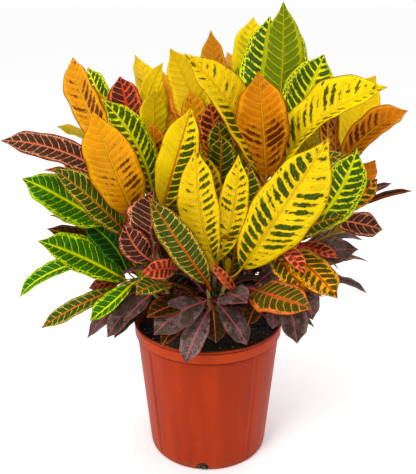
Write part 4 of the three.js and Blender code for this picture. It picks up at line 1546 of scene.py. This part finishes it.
@dataclass
class CaneBuilder:
    """Builds one cane: its woody foot, its shoots, petioles and blades, and its small inner leaves."""

    cane: Cane
    thickness: float = 0.7 * MM
    foot_depth: float = 190 * MM
    foot_radius: float = 6.8 * MM
    shoot_radius: float = 4.4 * MM
    shoot_taper: float = 0.35
    petiole_radius: float = 1.5 * MM
    full_length: float = 150 * MM
    knee: float = 0.45
    scar: float = 0.10
    overlap: float = 4 * MM
    inner_leaves: int = 12
    bark: BarkFinish = field(default_factory=BarkFinish)
    low_finishes: tuple[LeafFinish, ...] = (PLUM, BRONZE, GREEN, PLUM, WINE, BRONZE)
    high_finishes: tuple[LeafFinish, ...] = (GREEN_ORANGE, CRIMSON, GREEN, GREEN_ORANGE, RUST, BRONZE)
    low_height: float = 370 * MM

    # Faces across and along a blade and round its petiole, for blades above each length.
    FACES = ((130 * MM, (14, 60, 6)), (85 * MM, (12, 36, 6)), (46 * MM, (6, 12, 5)), (0, (4, 8, 4)))
    FOOT_SIDES, FOOT_STEPS = 12, 8
    STEM_SIDES, STEM_STEPS = 10, 14

    # How thick a petiole is at shares of its length, and how far along the blade its rib is drawn.
    PETIOLE = ((0, 1.5), (0.2, 1.1), (0.4, 1), (0.6, 1), (0.8, 1), (1, 1.05))
    RIB = (0.04, 0.12, 0.24, 0.36, 0.48, 0.60, 0.72, 0.84, 0.94)

    # An inner leaf: where along its shoot it may stand, the arc of headings that leaves the front
    # clear, its slope, its length, its width and arch as shares of that, its fold and its petiole.
    INNER_START, INNER_REACH = 0.22, 0.70
    INNER_HEADING, INNER_ARC = -35, 250
    INNER_SLOPE = (-30, 45)
    INNER_LENGTH = (50, 92)
    INNER_WIDTH = (0.26, 0.36)
    INNER_ARCH, INNER_FOLD = 0.1, 12
    INNER_PETIOLE = 12

    BUD_LEAVES = 3
    BUD_SLOPE = (58, 80)
    BUD_LENGTH = (26, 44)
    BUD_WIDTH = (9, 13)
    BUD_ARCH, BUD_FOLD = 2, 35

    def __post_init__(self) -> None:
        """Starts the mesh and the cane's own run of random numbers."""
        self.growth = Growth(self.cane.name + "_plant")
        self.random = random.Random(self.cane.name)
        self.fork = Vector((*self.cane.foot, self.cane.fork)) * MM

    def chance(self) -> Vector:
        """Three random numbers for a leaf."""
        return Vector((self.random.random(), self.random.random(), self.random.random()))

    def petiole_root(self, base: Vector, top: Vector) -> Vector:
        """Where a petiole leaves its shoot: lower than the blade by a share of the distance across.

        Args:
            base: The blade's base.
            top: The shoot's top.

        Returns:
            The point on the shoot.
        """
        across = math.hypot(base.x - top.x, base.y - top.y)
        share = (base.z - 0.6 * across - self.fork.z) / (top.z - self.fork.z)
        return self.fork.lerp(top, min(max(share, 0.4), 0.96))

    def leaf(self, leaf: Leaf, number: int, root: Vector) -> None:
        """Grows one leaf.

        Args:
            leaf: The leaf.
            number: Its place on its shoot, which sets its waves.
            root: Where its petiole leaves the shoot.
        """
        blade = Blade(leaf, number)
        chance = self.chance()
        columns, rows, sides = next(faces for least, faces in self.FACES if blade.length > least)
        self.growth.blade(blade, columns, rows, self.thickness, chance)
        bend = blade.base - blade.run.normalized() * (blade.base - root).length * 0.5
        stalk = [root.lerp(bend, t).lerp(bend.lerp(blade.base, t), t) for t, _ in self.PETIOLE]
        depth = blade.CHANNEL + self.thickness * 0.6
        for along in self.RIB:
            centre, up, _ = blade.spine(along)
            stalk.append(centre - up * (depth * (1 - along * 0.8)))
        thick = self.petiole_radius * min(1.0, blade.length / self.full_length) ** 0.5
        radii = [thick * share for _, share in self.PETIOLE]
        radii += [thick * (1 - 0.8 * along) for along in self.RIB]
        self.growth.tube(stalk, radii, sides, leaf.finish, chance)

    def stem(self, top: Vector) -> list[Vector]:
        """Grows one shoot from the fork to its top.

        Args:
            top: Where it ends.

        Returns:
            The points of its centre line.
        """
        start = self.fork - Vector((0, 0, self.overlap))
        knee = self.fork.lerp(top, self.knee)
        path = spline([start, knee, top], self.STEM_STEPS)
        last = len(path) - 1
        radii = []
        for step in range(last + 1):
            scar = self.scar * max(math.sin(step * 2.1), 0.0) ** 4
            radii.append(self.shoot_radius * (1 - self.shoot_taper * step / last + scar))
        self.growth.tube(path, radii, self.STEM_SIDES, self.bark, self.chance())
        return path

    def inner_leaf(self, path: list[Vector], number: int) -> tuple[Leaf, Vector]:
        """Works out one small leaf low on a shoot, clear of the front.

        Args:
            path: The shoot's centre line.
            number: The leaf's number on it.

        Returns:
            The leaf, and where its petiole starts.
        """
        share = self.INNER_START + self.INNER_REACH * (number + self.random.random()) / self.inner_leaves
        root = path[round(share * (len(path) - 1))]
        turn = (number * Fan.GOLDEN_SHARE + self.random.random() * 0.2) % 1
        heading = math.radians(self.INNER_HEADING + self.INNER_ARC * turn)
        out = direction(heading, math.radians(self.random.uniform(*self.INNER_SLOPE)))
        length = self.random.uniform(*self.INNER_LENGTH)
        base = root / MM + out * self.INNER_PETIOLE
        finishes = self.low_finishes if root.z < self.low_height else self.high_finishes
        finish = self.random.choice(finishes)
        width = length * self.random.uniform(*self.INNER_WIDTH)
        facing = Vector((-out.x * out.z, -out.y * out.z, 1 - out.z**2 + 0.01))
        leaf = Leaf.on(finish, base, out * length, width, facing)
        return replace(leaf, arch=self.INNER_ARCH * length, fold=self.INNER_FOLD), root

    def bud(self, top: Vector, finish: LeafFinish) -> None:
        """Grows the young leaves at a shoot's end.

        Args:
            top: The shoot's end.
            finish: What they wear.
        """
        for number in range(self.BUD_LEAVES):
            heading = math.tau * (number / self.BUD_LEAVES + self.random.random() * 0.2)
            out = direction(heading, math.radians(self.random.uniform(*self.BUD_SLOPE)))
            reach = out * self.random.uniform(*self.BUD_LENGTH)
            width = self.random.uniform(*self.BUD_WIDTH)
            leaf = Leaf.on(finish, top / MM + out * 3, reach, width, Vector((-out.x, -out.y, 0.2)))
            leaf = replace(leaf, arch=self.BUD_ARCH, fold=self.BUD_FOLD)
            self.leaf(leaf, number, top - Vector((0, 0, self.overlap / 2)))

    def woody_foot(self) -> None:
        """Grows the upright foot, from down in the soil to the fork."""
        path, radii = [], []
        for step in range(self.FOOT_STEPS + 1):
            share = step / self.FOOT_STEPS
            height = self.foot_depth + (self.fork.z - self.foot_depth) * share
            path.append(Vector((self.fork.x, self.fork.y, height)))
            radii.append(self.foot_radius * (1.15 - 0.15 * share))
        self.growth.tube(path, radii, self.FOOT_SIDES, self.bark, Vector((0.1, 0.2, 0.3)))

    def build(self) -> None:
        """Builds the whole cane and sets it in the frame."""
        self.woody_foot()
        for spray in self.cane.sprays():
            top = Vector(spray.top) * MM
            path = self.stem(top)
            for number, leaf in enumerate(spray.leaves):
                root = self.petiole_root(Vector(leaf.base) * MM, top)
                self.leaf(leaf, number, root)
            for number in range(self.inner_leaves):
                leaf, root = self.inner_leaf(path, number)
                self.leaf(leaf, number, root)
            self.bud(top, spray.leaves[0].finish)
        carry(self.growth.grown(), self.cane.name)


# ---- pot and soil ----


def arc(centre: tuple[float, float], radius: float, start: float, stop: float, steps: int) -> list[tuple]:
    """Points of an arc in a profile.

    Args:
        centre: Its centre, as radius and height.
        radius: Its radius.
        start: Where it starts, in degrees from outwards.
        stop: Where it stops.
        steps: How many steps it takes.

    Returns:
        The points, as radius and height.
    """
    angles = [math.radians(start + (stop - start) * step / steps) for step in range(steps + 1)]
    return [(centre[0] + radius * math.cos(a), centre[1] + radius * math.sin(a)) for a in angles]


def spun(profile: list[tuple[float, float]], steps: int) -> BMesh:
    """Spins a profile that starts and ends on the axis.

    Args:
        profile: Its points, as radius and height in metres.
        steps: Faces round the result.

    Returns:
        The closed mesh, facing outwards.
    """
    mesh = bmesh.new()
    verts = [mesh.verts.new((radius, 0, height)) for radius, height in profile]
    edges = [mesh.edges.new(pair) for pair in zip(verts, verts[1:])]
    bmesh.ops.spin(
        mesh,
        geom=verts + edges,
        cent=(0, 0, 0),
        axis=(0, 0, 1),
        angle=math.tau,
        steps=steps,
        use_merge=True,
    )
    bmesh.ops.remove_doubles(mesh, verts=mesh.verts, dist=0.01 * MM)
    bmesh.ops.recalc_face_normals(mesh, faces=mesh.faces)
    return mesh


@dataclass
class Pot:
    """The plastic pot: a rolled lip, an upright rim band, a tapered wall and four drain notches."""

    height: float = 241 * MM
    rim_radius: float = 127 * MM
    base_radius: float = 103 * MM
    band_height: float = 22 * MM
    band_step: float = 3.6 * MM
    lip_height: float = 3.6 * MM
    lip_roll: float = 1.2 * MM
    lip_neck: float = 0.7 * MM
    wall: float = 2.2 * MM
    floor: float = 3 * MM
    hollow: float = 1 * MM
    foot_round: float = 4 * MM
    floor_round: float = 3 * MM
    band_round: float = 1 * MM
    edge_round: float = 0.8 * MM
    wall_middle: float = 120 * MM
    steps: int = 360
    wall_rows: int = 24
    drain_count: int = 4
    drain_turn: float = -5.0
    drain_width: float = 20 * MM
    drain_height: float = 16 * MM
    drain_reach: float = 16 * MM
    groove_width: float = 8 * MM
    groove_depth: float = 1.4 * MM
    groove_ridge: float = 0.7 * MM
    cutter_spare: float = 8 * MM
    cutter_foot: float = -5 * MM
    crease: float = 38.0
    finish: PlasticFinish = field(default_factory=PlasticFinish)

    def __post_init__(self) -> None:
        """Works out the sizes that follow from the others."""
        self.band_foot = self.height - self.band_height
        self.band_radius = self.rim_radius - self.lip_roll
        self.body_top = self.band_radius - self.band_step
        self.taper = (self.body_top - self.base_radius) / self.band_foot

    def wall_radius(self, height: float) -> float:
        """The outer radius of the tapered wall at a height."""
        return self.base_radius + self.taper * height

    def profile(self) -> list[tuple[float, float]]:
        """The section, from the middle of the base round the lip to the middle of the floor.

        Returns:
            Its points, as radius and height.
        """
        base, foot, lip = self.base_radius, self.foot_round, self.lip_height / 2
        band, band_foot, top = self.band_radius, self.band_foot, self.height
        inner, neck = band - self.wall, top - self.lip_height
        points = [(0.0, self.hollow), (0.45 * base, self.hollow), (0.80 * base, 0.6 * self.hollow)]
        points += [(0.86 * base, 0.0), *arc((base - foot, foot), foot, -90, -4, 6)]
        for row in range(1, self.wall_rows):
            height = foot + (band_foot - 2 * MM - foot) * row / self.wall_rows
            points.append((self.wall_radius(height), height))
        points += [(self.body_top - 0.1 * MM, band_foot - 1.6 * MM)]
        points += [(self.body_top - 0.8 * MM, band_foot - 0.4 * MM)]
        points += arc((band - self.band_round, band_foot + self.band_round), self.band_round, -90, 0, 4)
        points += [(band, neck - 0.9 * MM), (band - self.lip_neck, neck - 0.2 * MM)]
        points += arc((self.rim_radius - lip, top - lip), lip, -80, 90, 8)
        points += arc((inner + self.edge_round, top - self.edge_round), self.edge_round, 90, 180, 3)
        points += [(inner, band_foot + self.wall), (self.body_top - self.wall, band_foot)]
        points += [(self.wall_radius(self.wall_middle) - self.wall, self.wall_middle)]
        corner = self.wall_radius(self.floor) - self.wall - self.floor_round
        points += arc((corner, self.floor + self.floor_round), self.floor_round, 0, -90, 4)
        return points + [(0.0, self.floor)]

    def add_mould_lines(self, mesh: BMesh) -> None:
        """Presses the mould lines into the outer wall, each a shallow channel with a raised side.

        Args:
            mesh: The spun pot.
        """
        width = self.groove_width
        for vert in mesh.verts:
            radius = vert.co.xy.length
            on_wall = abs(radius - self.wall_radius(vert.co.z)) < 0.1 * MM
            if not on_wall or not self.foot_round < vert.co.z < self.band_foot - 1 * MM:
                continue
            angle = math.degrees(math.atan2(vert.co.y, vert.co.x)) - self.drain_turn
            beside = math.radians(angle % 90 - 45) * radius
            channel = self.groove_depth * math.exp(-((beside / (width * 0.36)) ** 2))
            ridge = self.groove_ridge * math.exp(-(((beside + width * 0.8) / (width * 0.4)) ** 2))
            vert.co.xy *= (radius - channel + ridge) / radius

    def drain_cutter(self) -> bpy.types.Object:
        """Makes the four arches that the drain notches are cut with.

        Returns:
            Their object, to be removed after the cut.
        """
        mesh = bmesh.new()
        half = self.drain_width / 2
        for number in range(self.drain_count):
            arch = bmesh.ops.create_circle(mesh, cap_ends=True, segments=32, radius=half)["verts"]
            for vert in arch:
                low = vert.co.y < -0.1 * MM
                height = self.cutter_foot if low else vert.co.y + (self.drain_height - half)
                vert.co = (vert.co.x, -self.base_radius - self.cutter_spare, height)
            drawn = bmesh.ops.extrude_face_region(mesh, geom=faces_round(arch))["geom"]
            far = picked(drawn, BMVert)
            bmesh.ops.translate(mesh, vec=(0, self.drain_reach + self.cutter_spare, 0), verts=far)
            turn = math.radians(self.drain_turn + 360 / self.drain_count * number)
            bmesh.ops.rotate(mesh, cent=(0, 0, 0), matrix=Matrix.Rotation(turn, 3, "Z"), verts=arch + far)
        bmesh.ops.recalc_face_normals(mesh, faces=mesh.faces)
        return to_object(mesh, "drain_cutter")

    def build(self) -> None:
        """Builds the pot and sets it in the frame."""
        mesh = spun(self.profile(), self.steps)
        self.add_mould_lines(mesh)
        pot = to_object(mesh, "nursery_pot")
        cutter = self.drain_cutter()
        cut = pot.modifiers.new("drains", "BOOLEAN")
        cut.operation = "DIFFERENCE"
        cut.solver = "EXACT"
        cut.object = cutter
        graph = bpy.context.evaluated_depsgraph_get()
        shaped = bpy.data.meshes.new_from_object(pot.evaluated_get(graph))
        pot.modifiers.clear()
        pot.data = shaped
        bpy.data.objects.remove(cutter)
        pot.data.materials.clear()
        pot.data.materials.append(self.finish.material())
        pot.data.set_sharp_from_angle(angle=math.radians(self.crease))
        carry(pot, "pot")


@dataclass
class Soil:
    """The potting mix: an uneven bed, bark chips, perlite grains, and roots at the front drain notch."""

    pot: Pot
    edge_height: float = 220 * MM
    crown_height: float = 226 * MM
    gap: float = 0.4 * MM
    steps: int = 120
    rings: int = 26
    chips: int = 900
    grains: int = 130
    roots: int = 9
    crumbs: int = 80
    seed: int = 11
    lumps: float = 60.0
    lump_height: float = 2.2 * MM
    low_round: float = 4 * MM
    root_radius: float = 0.7 * MM
    finish: SoilFinish = field(default_factory=SoilFinish)

    # The least and most of a chip's sides, of a perlite grain's length and its other sides as shares
    # of that, and of a crumb's sides; and how far a corner may stray, as a share of the height.
    CHIP = ((3, 9), (2, 5), (1, 2.4))
    PERLITE_SIDES = ((0.7, 1), (0.6, 1))
    PERLITE = (1.2, 3.2)
    CRUMB = ((2, 4.5), (2, 4), (1.5, 3))
    STRAY = 0.22
    TILT = 0.35  # the spread of a chip's tilt, in radians
    CHIP_TONES = (0.15, 0.65)
    CRUMB_TONES = (0.2, 0.7)

    def __post_init__(self) -> None:
        """Builds the bed, from the pot's floor up, with the layer that says what each face is."""
        pot, bottom = self.pot, self.pot.floor + self.gap
        low = pot.wall_radius(bottom) - pot.wall - self.gap
        edge = pot.wall_radius(self.edge_height) - pot.wall - self.gap
        profile = [(0.0, bottom), (low - self.low_round, bottom), (low, bottom + self.low_round)]
        profile += [(edge, self.edge_height - 5 * MM)]
        profile += [(edge * (1 - ring / self.rings), self.edge_height) for ring in range(self.rings + 1)]
        self.mesh = spun(profile, self.steps)
        for vert in self.mesh.verts:
            if vert.co.z > self.edge_height - 1 * MM:
                vert.co.z = self.top(vert.co.x, vert.co.y)
        self.mesh.faces.layers.float.new(GRAIN)

    def top(self, x: float, y: float) -> float:
        """The height of the bed at a place, which is domed and lumpy.

        Args:
            x: How far right the place is.
            y: How far back.

        Returns:
            The height.
        """
        edge = self.pot.wall_radius(self.edge_height) - self.pot.wall
        share = min(math.hypot(x, y) / edge, 1.0)
        lump = noise.fractal(Vector((x, y, 0.3)) * self.lumps, 0.9, 2.0, 3)
        dome = (self.crown_height - self.edge_height) * share**1.5
        return self.crown_height - dome + lump * self.lump_height

    def ball(self, place: Matrix) -> list[BMVert]:
        """Adds a small rough ball to the mesh."""
        return bmesh.ops.create_icosphere(self.mesh, subdivisions=1, radius=0.5, matrix=place)["verts"]

    def mark(self, faces: list[BMFace], grain: float) -> None:
        """Writes what the faces are, for the material.

        Args:
            faces: The faces.
            grain: The value that the material reads.
        """
        layer = self.mesh.faces.layers.float[GRAIN]
        for face in faces:
            face[layer] = grain

    def scatter(self) -> None:
        """Strews bark chips and perlite over the bed."""
        draw = random.Random(self.seed)
        reach = self.pot.wall_radius(self.edge_height) - self.pot.wall - 6 * MM
        for number in range(self.chips + self.grains):
            spot, turn = reach * math.sqrt(draw.random()), math.tau * draw.random()
            x, y = spot * math.cos(turn), spot * math.sin(turn)
            chip = number < self.chips
            if chip:
                size = random_vector(draw, *self.CHIP) * MM
            else:
                sides = random_vector(draw, *self.PERLITE_SIDES)
                size = Vector((1, *sides)) * draw.uniform(*self.PERLITE) * MM
            tilt = Matrix.Rotation(draw.gauss(0, self.TILT), 4, "X")
            tilt = tilt @ Matrix.Rotation(draw.gauss(0, self.TILT), 4, "Y")
            place = Matrix.Translation((x, y, self.top(x, y) + size.z * 0.2))
            place = place @ Matrix.Rotation(math.tau * draw.random(), 4, "Z")
            place = place @ tilt @ Matrix.Diagonal((*size, 1))
            if chip:
                made = bmesh.ops.create_cube(self.mesh, size=1.0, matrix=place)["verts"]
            else:
                made = self.ball(place)
            for vert in made:
                vert.co += random_vector(draw, (-1, 1), (-1, 1), (-1, 1)) * size.z * self.STRAY
            tone = draw.uniform(*self.CHIP_TONES) if chip else Grain.PERLITE.value
            self.mark(faces_round(made), tone)

    def fill_drains(self) -> None:
        """Lets a little soil slump into each drain notch."""
        draw = random.Random(self.seed + 2)
        for number in range(self.pot.drain_count * self.crumbs):
            drain = number % self.pot.drain_count
            turn = math.radians(self.pot.drain_turn + 360 / self.pot.drain_count * drain)
            depth, beside = draw.uniform(1.5, 12) * MM, draw.uniform(-8, 8) * MM
            height = draw.uniform(1.3, 3.0 + 500 * depth) * MM
            spot = Vector((beside, -self.pot.base_radius + depth, height))
            size = random_vector(draw, *self.CRUMB) * MM
            place = Matrix.Rotation(turn, 4, "Z") @ Matrix.Translation(spot)
            place = place @ Matrix.Rotation(math.tau * draw.random(), 4, "Z") @ Matrix.Diagonal((*size, 1))
            self.mark(faces_round(self.ball(place)), draw.uniform(*self.CRUMB_TONES))

    def add_roots(self) -> None:
        """Lets root ends curl in the front drain notch."""
        draw = random.Random(self.seed + 1)
        turn = math.radians(self.pot.drain_turn)
        out = Vector((math.sin(turn), -math.cos(turn), 0))
        side = Vector((math.cos(turn), math.sin(turn), 0))
        for _ in range(self.roots):
            start = out * (self.pot.base_radius - 14 * MM) + side * draw.uniform(-7, 7) * MM
            start.z = draw.uniform(5, 12) * MM
            end = out * (self.pot.base_radius - draw.uniform(-1, 3) * MM) + side * draw.uniform(-8, 8) * MM
            end.z = draw.uniform(2, 9) * MM
            middle = start.lerp(end, 0.6) + side * draw.uniform(-5, 5) * MM
            middle.z = draw.uniform(2.5, 12) * MM
            path = spline([start, middle, end], 5)
            radius = self.root_radius
            ring = bmesh.ops.create_circle(self.mesh, cap_ends=True, segments=5, radius=radius)["verts"]
            faces = faces_round(ring)
            edges = list(dict.fromkeys(edge for vert in ring for edge in vert.link_edges))
            facing = Vector((0, 0, 1)).rotation_difference(path[-1] - path[0]).to_matrix()
            bmesh.ops.rotate(self.mesh, cent=(0, 0, 0), matrix=facing, verts=ring)
            bmesh.ops.translate(self.mesh, vec=path[0], verts=ring)
            for here, there in zip(path, path[1:]):
                ring, edges, sides = drawn_out(self.mesh, edges)
                faces += sides
                bmesh.ops.translate(self.mesh, vec=there - here, verts=ring)
            faces += bmesh.ops.edgeloop_fill(self.mesh, edges=edges)["faces"]
            bmesh.ops.recalc_face_normals(self.mesh, faces=faces)
            self.mark(faces, Grain.ROOT.value)

    def build(self) -> None:
        """Builds the soil and sets it in the frame."""
        self.scatter()
        self.fill_drains()
        self.add_roots()
        piece = to_object(self.mesh, "potting_mix", smooth=False)
        piece.data.materials.append(self.finish.material())
        carry(piece, "soil")


# ---- studio ----


@dataclass(frozen=True)
class Lamp:
    """A square soft light; its sides in metres and its power in watts."""

    name: str
    at: Point
    side: float
    power: float

    def hang(self, aim: Point) -> None:
        """Hangs the light.

        Args:
            aim: The point that it faces.
        """
        lamp = bpy.data.lights.new(self.name, "AREA")
        lamp.size = self.side
        lamp.energy = self.power
        light = bpy.data.objects.new(self.name, lamp)
        light.location = self.at
        light.rotation_euler = (Vector(aim) - Vector(self.at)).to_track_quat("-Z", "Y").to_euler()
        bpy.context.scene.collection.objects.link(light)


@dataclass
class Studio:
    """A pale floor, soft lights, and the camera of the photograph."""

    floor_half: float = 60.0
    floor_colour: Colour = (0.97, 0.97, 0.97, 1.0)
    world_colour: Colour = (1.0, 1.0, 1.0, 1.0)
    world_strength: float = 1.0
    camera_at: Point = (0.0, -1.0217, 0.7555)
    camera_pitch: float = 19.92  # degrees down
    lens: float = 50.0
    sensor: float = 36.0
    aim: Point = (0.0, 0.0, 0.4)
    lamps: tuple[Lamp, ...] = (
        Lamp("key", (-1.0, -1.4, 2.2), side=1.0, power=38.0),
        Lamp("rim", (0.9, 1.3, 2.0), side=1.2, power=14.0),
    )

    def add_floor(self) -> None:
        """Lays the floor."""
        mesh = bmesh.new()
        bmesh.ops.create_grid(mesh, x_segments=1, y_segments=1, size=self.floor_half)
        floor = to_object(mesh, "floor", smooth=False)
        floor.data.materials.append(Graph("floor").finish(self.floor_colour, 0.9))
        floor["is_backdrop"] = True

    def add_world(self) -> None:
        """Surrounds the plant with even white light."""
        world = bpy.data.worlds.new("studio")
        world.use_nodes = True
        background = world.node_tree.nodes["Background"]
        background.inputs["Color"].default_value = self.world_colour
        background.inputs["Strength"].default_value = self.world_strength
        bpy.context.scene.world = world

    def add_camera(self) -> None:
        """Sets up the camera."""
        data = bpy.data.cameras.new("camera")
        data.lens = self.lens
        data.sensor_width = self.sensor
        camera = bpy.data.objects.new("camera", data)
        camera.location = self.camera_at
        camera.rotation_euler = (math.radians(90 - self.camera_pitch), 0, 0)
        bpy.context.scene.collection.objects.link(camera)
        bpy.context.scene.camera = camera

    def build(self) -> None:
        """Builds the studio."""
        self.add_camera()
        self.add_floor()
        self.add_world()
        for lamp in self.lamps:
            lamp.hang(self.aim)
        bpy.context.scene.view_settings.view_transform = "Standard"


def main() -> None:
    """Builds the studio, the pot, the soil and the six canes."""
    logging.basicConfig(level=logging.INFO, format="%(name)s: %(message)s")
    Studio().build()
    pot = Pot()
    pot.build()
    Soil(pot).build()
    for cane in CANES:
        CaneBuilder(cane).build()
    sizes = {"cad": cad_box, "visual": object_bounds()}
    {name: [list(corner) for corner in box] for name, box in sizes.items()}


if __name__ == "__main__":
    main()
